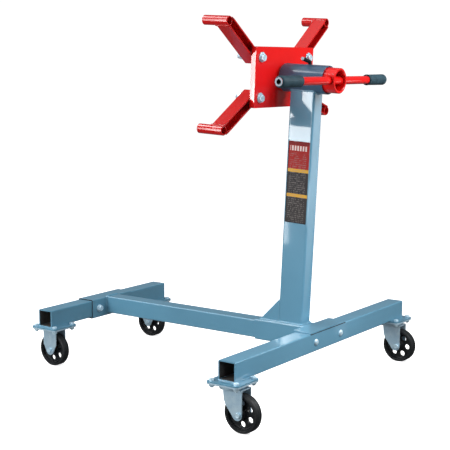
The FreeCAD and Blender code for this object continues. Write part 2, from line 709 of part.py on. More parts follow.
def placed_arm(shape, name):
    """Swing an arm part, built along +X from its bolt, to its angle on the plate."""
    x, z = arm_bolt_places()[name]
    swing = Rotation(Vector(0, 1, 0), -ARM_ANGLES[name])
    return on_mast(shape.transformed(Placement(Vector(x, 0, z), swing).toMatrix()))


def arm_channel(name):
    """Channel arm: web in front, open towards the plate, end coped round its tube."""
    length = ARM_TAIL + ARM_CHANNEL_END
    outer = Part.makeBox(length, ARM_DEPTH, ARM_WIDTH, Vector(-ARM_TAIL, ARM_FRONT, -ARM_WIDTH / 2))
    front_edges = []
    for edge in edges_parallel(outer, Vector(1, 0, 0)):
        if abs(edge.BoundBox.YMin - ARM_FRONT) < 0.01:
            front_edges.append(edge)
    outer = outer.makeFillet(ARM_CORNER, front_edges)
    inside = ARM_WIDTH - 2 * ARM_SHEET
    pocket = Part.makeBox(length, ARM_DEPTH, inside, Vector(-ARM_TAIL, ARM_FRONT + ARM_SHEET, -inside / 2))
    channel = outer.cut(pocket)
    reach = along_y(Part.makeCylinder(ARM_TUBE_RADIUS, 2 * ARM_DEPTH))
    channel = channel.cut(moved(reach, ARM_REACH, ARM_FRONT - ARM_DEPTH / 2, 0))
    hole = along_y(Part.makeCylinder(ARM_BOLT_RADIUS + ARM_BOLT_FIT, 2 * ARM_SHEET))
    channel = channel.cut(moved(hole, 0, ARM_FRONT - ARM_SHEET / 2, 0))
    return placed_arm(channel, name)


def arm_tube(name):
    """Open tube across the end of an arm; the engine bolt goes through it."""
    length = ARM_TUBE_BACK - ARM_TUBE_FRONT
    tube = along_y(ring(ARM_TUBE_RADIUS, ARM_TUBE_BORE, length))
    rims = []
    for edge in tube.Edges:
        if edge.BoundBox.YLength < 0.01 and abs(edge.BoundBox.ZLength - 2 * ARM_TUBE_RADIUS) < 0.1:
            rims.append(edge)
    tube = tube.makeChamfer(0.8, rims)
    return placed_arm(moved(tube, ARM_REACH, ARM_TUBE_FRONT, 0), name)


# --- Handle and lock pin --------------------------------------------------------
def handle_bar():
    bar = along_x(ring(HANDLE_RADIUS, HANDLE_BORE, 2 * HANDLE_HALF_LENGTH))
    return on_mast(moved(bar, -HANDLE_HALF_LENGTH, HANDLE_Y, HEAD_HEIGHT))


def grip(side):
    """Dipped grip with rounded ends over one end of the handle bar."""
    body = along_x(ring(GRIP_RADIUS, HANDLE_RADIUS, GRIP_LENGTH))
    rims = []
    for edge in body.Edges:
        if edge.BoundBox.XLength < 0.01 and abs(edge.BoundBox.ZLength - 2 * GRIP_RADIUS) < 0.1:
            rims.append(edge)
    body = body.makeFillet(GRIP_EDGE, rims)
    start = HANDLE_HALF_LENGTH - GRIP_END_INSET - GRIP_LENGTH
    body = moved(body, start, HANDLE_Y, HEAD_HEIGHT)
    if side < 0:
        body = body.mirror(Vector(), Vector(1, 0, 0))
    return on_mast(body)


def lock_pin():
    """Bent rod: shank down into the index holes, arm out to the left and a little up."""
    elbow = Vector(0, LOCK_PIN_Y, HEAD_HEIGHT + LOCK_PIN_ELBOW_HEIGHT)
    start = Vector(0, LOCK_PIN_Y, HEAD_HEIGHT + LOCK_PIN_TIP)
    rise = math.radians(LOCK_PIN_ARM_RISE)
    turn = math.pi / 2 - rise
    tangent = LOCK_PIN_BEND * math.tan(turn / 2)
    arm_way = Vector(math.cos(rise), 0, math.sin(rise))
    bend_start = elbow - Vector(0, 0, tangent)
    bend_end = elbow + arm_way * tangent
    centre = bend_start + Vector(LOCK_PIN_BEND, 0, 0)
    to_corner = elbow - centre
    middle = centre + to_corner * (LOCK_PIN_BEND / to_corner.Length)
    end = elbow + arm_way * (tangent + LOCK_PIN_ARM_LENGTH)
    shank = Part.LineSegment(start, bend_start).toShape()
    bend = Part.Arc(bend_start, middle, bend_end).toShape()
    arm = Part.LineSegment(bend_end, end).toShape()
    path = Part.Wire([shank, bend, arm])
    section = Part.Wire([Part.makeCircle(LOCK_PIN_RADIUS, start, Vector(0, 0, 1))])
    rod = path.makePipeShell([section], True, False)
    tips = []
    for edge in rod.Edges:
        if edge.Curve.TypeId != "Part::GeomCircle":
            continue
        distance = min((edge.Curve.Center - start).Length, (edge.Curve.Center - end).Length)
        if distance < 0.01:
            tips.append(edge)
    rod = rod.makeChamfer(1.0, tips)
    return on_mast(rod)


# --- Export ---------------------------------------------------------------------
def save(name, shape):
    """Write one node; a list becomes a group of separate solids."""
    if isinstance(shape, list):
        shape = Part.makeCompound(shape)
    if not shape.isValid():
        raise RuntimeError("shape is not valid: " + name)
    shape.exportStep(os.path.join("parts", name + ".step"))
    print(name, len(shape.Solids), "solids")


def save_base():
    save("rear_crossbeam", rear_crossbeam())
    save("front_crossbar", front_crossbar())
    save("front_sleeve", front_sleeve())
    save("spine_tube", spine_tube())
    save("rear_socket", rear_socket())
    save("saddle_bracket", saddle_bracket())
    save("beam_bolts", beam_bolts())
    save("beam_nuts", beam_nuts())
    save("sleeve_bolts", sleeve_bolts())
    save("sleeve_washers", sleeve_washers())
    save("sleeve_nuts", sleeve_nuts())
    save("caster_bolts", caster_bolts())
    save("caster_nuts", caster_nuts())
    for name, x, y, bottom in caster_places():
        pad = moved(bolted_plate(PAD_THICKNESS), x, y, bottom - PAD_THICKNESS)
        save("caster_pad_" + name, pad)


def save_rear_casters():
    save("swivel_balls", swivel_balls())
    kingpins = [moved(kingpin(), side * REAR_CASTER_X, BEAM_Y) for side in SIDES.values()]
    save("kingpins", kingpins)
    for name, side in SIDES.items():
        x = side * REAR_CASTER_X
        axle_y = BEAM_Y + SWIVEL_TRAIL
        save("swivel_plate_" + name, moved(swivel_plate(), x, BEAM_Y))
        save("swivel_fork_" + name, moved(swivel_fork(), x, BEAM_Y))
        save("axle_bolt_rear_" + name, moved(axle_bolt(), x, axle_y, WHEEL_RADIUS))
        save("axle_nut_rear_" + name, moved(axle_nut(), x, axle_y, WHEEL_RADIUS))
        save("wheel_rear_" + name, moved(wheel_core("rear_" + name), x, axle_y, WHEEL_RADIUS))
        save("tyre_rear_" + name, moved(tyre(), x, axle_y, WHEEL_RADIUS))


def save_front_casters():
    axle_bolts = []
    axle_nuts = []
    for name, side in SIDES.items():
        x = side * FRONT_CASTER_X
        save("rigid_fork_" + name, moved(rigid_fork(), x, FRONT_Y))
        save("wheel_front_" + name, moved(wheel_core("front_" + name), x, FRONT_Y, WHEEL_RADIUS))
        save("tyre_front_" + name, moved(tyre(), x, FRONT_Y, WHEEL_RADIUS))
        axle_bolts.append(moved(axle_bolt(), x, FRONT_Y, WHEEL_RADIUS))
        axle_nuts.append(moved(axle_nut(), x, FRONT_Y, WHEEL_RADIUS))
    save("axle_bolts_front", axle_bolts)
    save("axle_nuts_front", axle_nuts)


def save_mast_and_head():
    save("mast_tube", mast_tube())
    save("mast_gusset", mast_gusset())
    save("mast_label", mast_label())
    save("head_housing", head_housing())
    save("head_tube", head_tube())
    save("mounting_plate", mounting_plate())
    save("arm_bolts", arm_bolts())
    save("plate_washers", plate_washers())
    save("arm_nuts", arm_nuts())
    for name in ARM_ANGLES:
        save("arm_channel_" + name, arm_channel(name))
        save("arm_tube_" + name, arm_tube(name))
    save("handle_bar", handle_bar())
    save("grip_left", grip(1))
    save("grip_right", grip(-1))
    save("lock_pin", lock_pin())


os.makedirs("parts", exist_ok=True)
save_base()
save_rear_casters()
save_front_casters()
save_mast_and_head()
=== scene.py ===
import json
import math
import random

import bmesh
import bpy
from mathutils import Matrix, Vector


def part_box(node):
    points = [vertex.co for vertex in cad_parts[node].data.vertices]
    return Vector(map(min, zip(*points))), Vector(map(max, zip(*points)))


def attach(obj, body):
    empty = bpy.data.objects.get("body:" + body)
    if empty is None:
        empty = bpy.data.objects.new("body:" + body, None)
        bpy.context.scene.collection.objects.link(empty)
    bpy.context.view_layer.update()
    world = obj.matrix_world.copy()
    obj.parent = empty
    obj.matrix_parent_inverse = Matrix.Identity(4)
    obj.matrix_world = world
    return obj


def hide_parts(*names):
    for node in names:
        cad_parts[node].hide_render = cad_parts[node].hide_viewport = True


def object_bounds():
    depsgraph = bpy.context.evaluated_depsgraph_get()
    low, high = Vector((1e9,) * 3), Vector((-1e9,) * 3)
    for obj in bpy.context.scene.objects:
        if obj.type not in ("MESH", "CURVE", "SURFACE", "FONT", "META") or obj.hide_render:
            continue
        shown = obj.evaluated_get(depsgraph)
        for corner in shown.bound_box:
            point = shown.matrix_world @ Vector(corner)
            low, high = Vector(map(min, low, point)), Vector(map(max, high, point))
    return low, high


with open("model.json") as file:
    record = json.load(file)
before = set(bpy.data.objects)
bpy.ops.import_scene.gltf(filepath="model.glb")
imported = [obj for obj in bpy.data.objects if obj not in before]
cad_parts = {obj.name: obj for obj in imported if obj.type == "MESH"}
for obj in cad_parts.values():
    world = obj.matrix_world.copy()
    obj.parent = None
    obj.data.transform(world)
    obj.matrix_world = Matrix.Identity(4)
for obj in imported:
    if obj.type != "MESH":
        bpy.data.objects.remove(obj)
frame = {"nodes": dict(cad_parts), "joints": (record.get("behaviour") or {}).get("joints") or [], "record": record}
CAD_LOW, CAD_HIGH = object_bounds()

# Looks of the engine stand: every CAD node gets a rounded, detailed copy of itself,
# and the weld beads, threads and label print are added here.  Everything is in metres.
MM = 0.001
NODES = frame["nodes"]
RECORD = frame["record"]
JOINTS = {joint["name"]: joint for joint in frame["joints"]}
BODY_OF = {}
for body_name, members in RECORD["behaviour"]["bodies"].items():
    for member in members:
        BODY_OF[member] = body_name
SLOT_OF = {part["node"]: part["material_slot"] for part in RECORD["subparts"]}
SIDES = {"left": 1, "right": -1}
ARMS = ("upper_left", "upper_right", "lower_left", "lower_right")
random.seed(11)

# --- Mast frame: x across, v towards the handle, u up the leaning mast -----------
HEAD_CENTRE = Vector(JOINTS["head_rotation"]["pos_m"])
ACROSS = Vector((1, 0, 0))
HEAD_AXIS = Vector(JOINTS["head_rotation"]["axis"])
MAST_UP = ACROSS.cross(HEAD_AXIS)

# --- Sizes that the details need -------------------------------------------------
HOUSING_RADIUS = 38.0 * MM
HEAD_TUBE_RADIUS = 33.4 * MM
MAST_HALF_X = 22.5 * MM
MAST_HALF_V = 38.0 * MM
MAST_CORNER = 5.0 * MM
PLATE_BACK = -71.8 * MM
ARM_REACH = 155.0 * MM
ARM_TUBE_RADIUS = 12.7 * MM
GUSSET_HEIGHT = 62.0 * MM
WHEEL_RADIUS = 49.0 * MM
TUBE_HALF = 25.4 * MM
TUBE_CORNER = 3.5 * MM

# --- Mesh finishing ----------------------------------------------------------------
MERGE_DISTANCE = 0.004 * MM
FLAT_ANGLE = math.radians(0.8)
BEVEL_ANGLE = math.radians(32)
SHARP_ANGLE = math.radians(42)


def link(name, mesh):
    """Put a mesh in the scene as an object."""
    piece = bpy.data.objects.new(name, mesh)
    bpy.context.scene.collection.objects.link(piece)
    return piece


def apply_modifiers(piece):
    """Swap the mesh for its evaluated copy and drop the modifiers."""
    bpy.context.view_layer.update()
    evaluated = piece.evaluated_get(bpy.context.evaluated_depsgraph_get())
    mesh = bpy.data.meshes.new_from_object(evaluated)
    piece.modifiers.clear()
    old = piece.data
    piece.data = mesh
    bpy.data.meshes.remove(old)
    mesh.name = piece.name


def finish_mesh(piece, bevel=0.0, segments=2):
    """Round the sharp edges, then shade the big faces flat and the small ones smooth."""
    if bevel:
        rounding = piece.modifiers.new("rounding", "BEVEL")
        rounding.width = bevel
        rounding.segments = segments
        rounding.limit_method = "ANGLE"
        rounding.angle_limit = BEVEL_ANGLE
        rounding.use_clamp_overlap = True
        apply_modifiers(piece)
    piece.data.shade_smooth()
    piece.data.set_sharp_from_angle(angle=SHARP_ANGLE)
    weighted = piece.modifiers.new("weighted", "WEIGHTED_NORMAL")
    weighted.keep_sharp = True
    weighted.weight = 60
    apply_modifiers(piece)


def welded_copy(node):
    """Copy of a CAD node's mesh with its triangles joined into whole flat faces."""
    grid = bmesh.new()
    grid.from_mesh(NODES[node].data)
    bmesh.ops.remove_doubles(grid, verts=grid.verts, dist=MERGE_DISTANCE)
    bmesh.ops.dissolve_limit(grid, angle_limit=FLAT_ANGLE, verts=grid.verts, edges=grid.edges)
    mesh = bpy.data.meshes.new(node)
    grid.to_mesh(mesh)
    grid.free()
    if "custom_normal" in mesh.attributes:
        mesh.attributes.remove(mesh.attributes["custom_normal"])
    mesh.materials.clear()
    return mesh


def refine(node, bevel, segments=2):
    """Rounded copy of a CAD node that stands for it."""
    piece = link(node + "_finished", welded_copy(node))
    finish_mesh(piece, bevel, segments)
    return stand_for(piece, node)


def stand_for(piece, node):
    """Let the piece ride, replace its CAD node and take the node's finish."""
    piece.data.materials.append(MATERIALS[SLOT_OF[node]])
    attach(piece, BODY_OF[node])
    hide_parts(node)
    return piece


def add_detail(name, body, slot, vertices, faces, smooth_angle=SHARP_ANGLE):
    """New piece from vertices and faces, riding on a body."""
    mesh = bpy.data.meshes.new(name)
    mesh.from_pydata([tuple(v) for v in vertices], [], faces)
    mesh.validate()
    mesh.shade_smooth()
    mesh.set_sharp_from_angle(angle=smooth_angle)
    mesh.materials.append(MATERIALS[slot])
    piece = link(name, mesh)
    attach(piece, body)
    return piece


# --- Materials ---------------------------------------------------------------------
class Shader:
    """Builds one procedural material; every method adds nodes and returns a socket."""

    def __init__(self, name):
        self.material = bpy.data.materials.new(name)
        self.material.use_nodes = True
        self.tree = self.material.node_tree
        self.surface = self.tree.nodes["Principled BSDF"]
        self.place = self.tree.nodes.new("ShaderNodeTexCoord").outputs["Object"]

    def node(self, kind, **settings):
        made = self.tree.nodes.new(kind)
        for key, value in settings.items():
            setattr(made, key, value)
        return made

    def link(self, source, target):
        if hasattr(source, "is_output"):
            self.tree.links.new(source, target)
        else:
            target.default_value = source

    def noise(self, scale, detail=2.0, stretch=(1, 1, 1), distortion=0.0):
        """Noise from 0 to 1; scale is in waves a metre."""
        mapping = self.node("ShaderNodeMapping")
        self.link(self.place, mapping.inputs["Vector"])
        mapping.inputs["Scale"].default_value = stretch
        texture = self.node("ShaderNodeTexNoise")
        self.link(mapping.outputs["Vector"], texture.inputs["Vector"])
        texture.inputs["Scale"].default_value = scale
        texture.inputs["Detail"].default_value = detail
        texture.inputs["Distortion"].default_value = distortion
        return texture.outputs["Fac"]

    def span(self, source, low, high, to_low=0.0, to_high=1.0):
        """Map low..high to to_low..to_high, held at the ends."""
        spread = self.node("ShaderNodeMapRange")
        self.link(source, spread.inputs["Value"])
        spread.inputs["From Min"].default_value = low
        spread.inputs["From Max"].default_value = high
        spread.inputs["To Min"].default_value = to_low
        spread.inputs["To Max"].default_value = to_high
        return spread.outputs["Result"]

    def math(self, operation, first, second=0.0):
        made = self.node("ShaderNodeMath", operation=operation)
        self.link(first, made.inputs[0])
        self.link(second, made.inputs[1])
        return made.outputs["Value"]

    def mix(self, share, first, second):
        """Blend two colours."""
        made = self.node("ShaderNodeMix", data_type="RGBA")
        self.link(share, made.inputs["Factor"])
        self.link(first, made.inputs[6])
        self.link(second, made.inputs[7])
        return made.outputs[2]

    def edge(self, radius):
        """Near 1 along sharp edges and 0 on flat faces."""
        rounded = self.node("ShaderNodeBevel", samples=4)
        rounded.inputs["Radius"].default_value = radius
        geometry = self.node("ShaderNodeNewGeometry")
        dot = self.node("ShaderNodeVectorMath", operation="DOT_PRODUCT")
        self.link(rounded.outputs["Normal"], dot.inputs[0])
        self.link(geometry.outputs["Normal"], dot.inputs[1])
        return self.span(dot.outputs["Value"], 0.995, 0.90)

    def bump(self, *layers):
        """Stack (height socket, strength, distance) layers into the surface normal."""
        normal = None
        for height, strength, distance in layers:
            made = self.node("ShaderNodeBump")
            made.inputs["Strength"].default_value = strength
            made.inputs["Distance"].default_value = distance
            self.link(height, made.inputs["Height"])
            if normal is not None:
                self.link(normal, made.inputs["Normal"])
            normal = made.outputs["Normal"]
        self.link(normal, self.surface.inputs["Normal"])

    def set(self, **values):
        """Set or link sockets of the surface shader by name, with _ for a space."""
        for key, value in values.items():
            self.link(value, self.surface.inputs[key.replace("_", " ")])


def rgb(red, green, blue):
    return (red, green, blue, 1.0)


def scaled(colour, factor):
    return tuple(min(1.0, channel * factor) for channel in colour[:3]) + (1.0,)


def paint(name, colour, worn_colour, coat=0.9, shine=0.25):
    """Gloss enamel: faint orange peel, drifting tone, dust specks and rubbed edges."""
    shader = Shader(name)
    drift = shader.span(shader.noise(5, 2), 0.35, 0.65)
    body = shader.mix(drift, scaled(colour, 0.95), scaled(colour, 1.05))
    cloud = shader.span(shader.noise(28, 4), 0.45, 0.75, 0.0, 0.10)
    body = shader.mix(cloud, body, scaled(colour, 1.18))
    specks = shader.span(shader.noise(1400, 1), 0.72, 0.78, 0.0, 0.22)
    body = shader.mix(specks, body, worn_colour)
    rubbed = shader.math("MULTIPLY", shader.edge(1.1 * MM), shader.span(shader.noise(90, 3), 0.42, 0.62))
    body = shader.mix(shader.math("MULTIPLY", rubbed, 0.45), body, worn_colour)
    shader.set(Base_Color=body, Coat_Weight=coat, Coat_Roughness=0.05, IOR=1.45, Specular_IOR_Level=shine)
    shader.set(Roughness=shader.span(shader.noise(18, 3), 0.3, 0.7, 0.28, 0.34))
    shader.bump((shader.noise(420, 1), 0.015, 0.3 * MM))
    return shader.material


def metal(name, colour, roughness, tint, metallic=1.0, grain=260, polish=0.04):
    """Plated steel: cloudy tint, fine brushing, small dull spots and a painted highlight along the edges."""
    shader = Shader(name)
    cloud = shader.span(shader.noise(45, 4, distortion=0.6), 0.35, 0.65)
    body = shader.mix(cloud, colour, tint)
    spots = shader.span(shader.noise(520, 3), 0.60, 0.72, 0.0, 0.35)
    body = shader.mix(spots, body, scaled(colour, 0.62))
    # Painted highlight: the base colour is a quarter lighter along sharp edges.
    bright = shader.math("MULTIPLY", shader.edge(0.7 * MM), 0.5)
    body = shader.mix(bright, body, scaled(colour, 1.25))
    fine = shader.noise(grain, 4, stretch=(1, 1, 5))
    shader.set(Base_Color=body, Metallic=metallic)
    shader.set(Roughness=shader.span(fine, 0.3, 0.7, roughness - 0.07, roughness + 0.10))
    shader.bump((fine, polish, 0.3 * MM), (shader.noise(1500, 1), 0.05, 0.1 * MM))
    return shader.material


def moulded(name, colour, roughness, grain, strength, shine=0.4):
    """Moulded rubber or plastic: fine grain, dust specks and scuffed edges."""
    shader = Shader(name)
    cloud = shader.span(shader.noise(38, 4), 0.38, 0.66)
    body = shader.mix(cloud, colour, scaled(colour, 1.5))
    scuffed = shader.math("MULTIPLY", shader.edge(1.0 * MM), shader.span(shader.noise(150, 3), 0.4, 0.6))
    body = shader.mix(shader.math("MULTIPLY", scuffed, 0.4), body, scaled(colour, 3.2))
    dust = shader.span(shader.noise(300, 4), 0.58, 0.75, 0.0, 0.22)
    body = shader.mix(dust, body, scaled(colour, 2.6))
    shader.set(Base_Color=body, Specular_IOR_Level=shine)
    shader.set(Roughness=shader.span(shader.noise(70, 3), 0.3, 0.7, roughness, roughness + 0.16))
    shader.bump((shader.noise(grain, 2), strength, 0.25 * MM), (shader.noise(90, 2), 0.05, 0.6 * MM))
    return shader.material


# Label print, as shares of its height from the bottom edge.
LABEL_STOPS = (
    (0.000, rgb(0.030, 0.027, 0.027)),
    (0.318, rgb(0.62, 0.33, 0.035)),
    (0.356, rgb(0.028, 0.026, 0.028)),
    (0.622, rgb(0.66, 0.36, 0.040)),
    (0.662, rgb(0.34, 0.008, 0.007)),
    (0.950, rgb(0.20, 0.006, 0.008)),
)

# Plain generic marks: rows of dashes, and one band of bars near the top.
PRINT_MARGINS = (0.10, 0.88)
PRINT_ROWS = 40.0
PRINT_STRENGTH = 0.42
BAR_BAND = (0.885, 0.945)
BAR_COUNT = 8.0
BAR_GAP = 0.40
LABEL_RIM = (0.04, 0.016)


def label_film():
    """Printed film: a red header with a band of pale bars, amber strips and dark panels."""
    shader = Shader("label_film")
    sheet = shader.node("ShaderNodeUVMap", uv_map="sheet")
    split = shader.node("ShaderNodeSeparateXYZ")
    shader.link(sheet.outputs["UV"], split.inputs["Vector"])
    across, up = split.outputs["X"], split.outputs["Y"]
    ramp = shader.node("ShaderNodeValToRGB")
    ramp.color_ramp.interpolation = "CONSTANT"
    stops = ramp.color_ramp.elements
    while len(stops) < len(LABEL_STOPS):
        stops.new(1.0)
    for stop, (place, colour) in zip(stops, LABEL_STOPS):
        stop.position = place
        stop.color = colour
    shader.link(up, ramp.inputs["Fac"])
    rows = shader.math("FRACT", shader.math("MULTIPLY", up, PRINT_ROWS))
    inside = shader.math("MULTIPLY", shader.math("GREATER_THAN", across, PRINT_MARGINS[0]),
                         shader.math("LESS_THAN", across, PRINT_MARGINS[1]))
    dashes = shader.span(shader.noise(330, 2, stretch=(1, 1, 0.5)), 0.47, 0.53)
    lines = shader.math("MULTIPLY", shader.math("GREATER_THAN", rows, 0.45), inside)
    lines = shader.math("MULTIPLY", lines, dashes)
    in_body = shader.math("LESS_THAN", up, BAR_BAND[0] - 0.02)
    lines = shader.math("MULTIPLY", shader.math("MULTIPLY", lines, in_body), PRINT_STRENGTH)
    body = shader.mix(lines, ramp.outputs["Color"], rgb(0.26, 0.23, 0.22))
    band = shader.math("MULTIPLY", shader.math("GREATER_THAN", up, BAR_BAND[0]),
                       shader.math("LESS_THAN", up, BAR_BAND[1]))
    blocks = shader.math("FRACT", shader.math("MULTIPLY", across, BAR_COUNT))
    bars = shader.math("MULTIPLY", shader.math("GREATER_THAN", blocks, BAR_GAP), inside)
    body = shader.mix(shader.math("MULTIPLY", bars, band), body, rgb(0.78, 0.66, 0.64))
    rim = shader.math("MAXIMUM", shader.math("LESS_THAN", across, LABEL_RIM[0]),
                      shader.math("LESS_THAN", up, LABEL_RIM[1]))
    body = shader.mix(shader.math("MULTIPLY", rim, 0.85), body, rgb(0.012, 0.010, 0.012))
    dust = shader.span(shader.noise(160, 4), 0.50, 0.80, 0.0, 0.12)
    body = shader.mix(dust, body, rgb(0.22, 0.19, 0.18))
    shader.set(Base_Color=body, Specular_IOR_Level=0.22)
    shader.set(Roughness=shader.span(shader.noise(55, 2), 0.3, 0.7, 0.50, 0.60))
    shader.bump((shader.noise(120, 2), 0.06, 0.3 * MM))
    return shader.material


BLUE = rgb(0.108, 0.272, 0.392)
# Painted shade: the blue paint made darker for the head housing.
SHADED_BLUE = rgb(0.050, 0.100, 0.165)
RED = rgb(0.74, 0.0055, 0.0050)
MATERIALS = {
    "blue_paint": paint("blue_paint", BLUE, rgb(0.36, 0.46, 0.52)),
    "red_paint": paint("red_paint", RED, rgb(0.66, 0.10, 0.09), coat=0.8, shine=0.12),
    "zinc_bolts": metal("zinc_bolts", rgb(0.64, 0.83, 0.94), 0.30, rgb(0.54, 0.75, 0.88), 0.40),
    "zinc_casters": metal("zinc_casters", rgb(0.56, 0.73, 0.84), 0.34, rgb(0.44, 0.63, 0.77), 0.50),
    "bearing_steel": metal("bearing_steel", rgb(0.62, 0.62, 0.63), 0.14, rgb(0.55, 0.55, 0.57)),
    "pin_steel": metal("pin_steel", rgb(0.030, 0.028, 0.030), 0.38, rgb(0.05, 0.045, 0.05)),
    "wheel_plastic": moulded("wheel_plastic", rgb(0.006, 0.007, 0.0085), 0.22, 900, 0.06),
    "tyre_rubber": moulded("tyre_rubber", rgb(0.0060, 0.0075, 0.0090), 0.50, 700, 0.12),
    "grip_vinyl": moulded("grip_vinyl", rgb(0.020, 0.046, 0.062), 0.52, 800, 0.03, shine=0.2),
    "label_film": label_film(),
}
# Finishes that no node has as a whole, with the red painted deeper on the arms and the blue
# painted darker on the housing, both as painted shade.
DARK_BORE = metal("dark_bore", rgb(0.060, 0.055, 0.053), 0.7, rgb(0.080, 0.074, 0.070), 0.0)
# Painted shadow: a near-black finish put on gaps that are dark only from shade.
PAINTED_GAP_SHADOW = metal("painted_gap_shadow", rgb(0.010, 0.012, 0.014), 0.7, rgb(0.016, 0.018, 0.020), 0.0)
BARE_STEEL = metal("bare_steel", rgb(0.34, 0.40, 0.46), 0.55, rgb(0.26, 0.32, 0.38), 0.2)
# Painted shade: the plate's red paint made deeper, so that the arms look shaded.
ARM_SHADED_RED = paint("arm_shaded_red", rgb(0.52, 0.0048, 0.0044), rgb(0.60, 0.09, 0.08), coat=0.8, shine=0.12)
# Painted shade: a darker copy of the blue paint, so that the housing looks shaded.
HOUSING_SHADED_BLUE = paint("housing_shaded_blue", SHADED_BLUE, rgb(0.30, 0.38, 0.45), coat=0.45)


# --- Frames, plates and tubes: rounded copies of the CAD nodes ---------------------
EDGE_SIZES = {
    "rear_crossbeam": 0.5, "front_crossbar": 0.5, "front_sleeve": 0.6, "spine_tube": 0.5,
    "rear_socket": 0.6, "saddle_bracket": 1.0, "mast_tube": 0.6, "mast_gusset": 0.9,
    "head_housing": 0.7, "head_tube": 0.5, "mounting_plate": 1.2, "kingpins": 0.5,
    "beam_nuts": 0.5, "sleeve_nuts": 0.5, "caster_nuts": 0.4, "arm_nuts": 0.6,
    "axle_nuts_front": 0.4, "axle_nut_rear_left": 0.4, "axle_nut_rear_right": 0.4,
    "sleeve_washers": 0.4, "plate_washers": 0.5, "lock_pin": 0.3, "handle_bar": 0.5,
    "swivel_plate_left": 0.8, "swivel_plate_right": 0.8, "swivel_balls": 0.0,
    "swivel_fork_left": 0.9, "swivel_fork_right": 0.9,
    "rigid_fork_left": 0.9, "rigid_fork_right": 0.9,
    "caster_pad_rear_left": 0.8, "caster_pad_rear_right": 0.8,
    "caster_pad_front_left": 0.8, "caster_pad_front_right": 0.8,
    "wheel_rear_left": 0.6, "wheel_rear_right": 0.6,
    "wheel_front_left": 0.6, "wheel_front_right": 0.6,
}
for arm in ARMS:
    EDGE_SIZES["arm_channel_" + arm] = 0.9
    EDGE_SIZES["arm_tube_" + arm] = 0.4

refined = {}
for node, edge_size in EDGE_SIZES.items():
    refined[node] = refine(node, edge_size * MM)


def finish_ends(node, direction, reach, finish):
    """Give the faces that close the ends of a piece a finish of their own."""
    piece = refined[node]
    slot_index = len(piece.data.materials)
    piece.data.materials.append(finish)
    places = [vertex.co.dot(direction) for vertex in piece.data.vertices]
    low, high = min(places), max(places)
    for face in piece.data.polygons:
        along = face.center.dot(direction)
        at_end = min(along - low, high - along) < reach
        if at_end and abs(face.normal.dot(direction)) > 0.4:
            face.material_index = slot_index


def dark_inside(node, direction, inner):
    """Unpainted inside of a tube: faces nearer to its axis than the inner half width."""
    piece = refined[node]
    slot_index = len(piece.data.materials)
    piece.data.materials.append(DARK_BORE)
    low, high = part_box(node)
    middle = (low + high) / 2
    for face in piece.data.polygons:
        offset = face.center - middle
        offset -= direction * offset.dot(direction)
        if offset.length < inner and abs(face.normal.dot(direction)) < 0.5:
            face.material_index = slot_index


# Painted shade: the housing takes the darker copy of the blue paint.
refined["head_housing"].data.materials[0] = HOUSING_SHADED_BLUE
# Painted shade: the arms take the deeper copy of the red paint.
for arm in ARMS:
    refined["arm_channel_" + arm].data.materials[0] = ARM_SHADED_RED
    refined["arm_tube_" + arm].data.materials[0] = ARM_SHADED_RED
finish_ends("handle_bar", ACROSS, 1.2 * MM, BARE_STEEL)
# Painted shadow: the sleeve's end faces are made near black to stand for the shaded gap round the bar.
finish_ends("front_sleeve", ACROSS, 0.3 * MM, PAINTED_GAP_SHADOW)
dark_inside("handle_bar", ACROSS, 8.0 * MM)
dark_inside("rear_crossbeam", ACROSS, 23.0 * MM)
dark_inside("front_crossbar", ACROSS, 23.0 * MM)
finish_ends("lock_pin", ACROSS, 4.0 * MM, BARE_STEEL)


# --- Bolts with real threads ---------------------------------------------------------
def solids_of(node):
    """Vertex positions of each separate solid in a CAD node."""
    grid = bmesh.new()
    grid.from_mesh(NODES[node].data)
    bmesh.ops.remove_doubles(grid, verts=grid.verts, dist=MERGE_DISTANCE)
    grid.verts.ensure_lookup_table()
    seen = set()
    groups = []
    for start in grid.verts:
        if start.index in seen:
            continue
        seen.add(start.index)
        queue = [start]
        group = []
        while queue:
            vertex = queue.pop()
            group.append(vertex.co.copy())
            for edge in vertex.link_edges:
                other = edge.other_vert(vertex)
                if other.index not in seen:
                    seen.add(other.index)
                    queue.append(other)
        groups.append(group)
    grid.free()
    return groups


def axes_for(direction):
    """Two directions square to the given one and to each other."""
    side = direction.cross(Vector((0, 0, 1)))
    if side.length < 0.1:
        side = Vector((0, 1, 0)).cross(direction)
    side.normalize()
    return side, direction.cross(side)


def skin_rings(vertices, faces, rings, closed=False):
    """Join equal rings of points into a surface; the last ring meets the first if closed."""
    start = len(vertices)
    count = len(rings[0])
    for ring in rings:
        vertices.extend(ring)
    last = len(rings) if closed else len(rings) - 1
    for row in range(last):
        here = start + row * count
        there = start + ((row + 1) % len(rings)) * count
        for step in range(count):
            after = (step + 1) % count
            faces.append((here + step, here + after, there + after, there + step))


def cap(vertices, faces, ring, flip=False):
    """Close a ring with one face."""
    start = len(vertices)
    vertices.extend(ring)
    face = tuple(range(start, start + len(ring)))
    faces.append(face[::-1] if flip else face)


THREAD_SIDES = 24


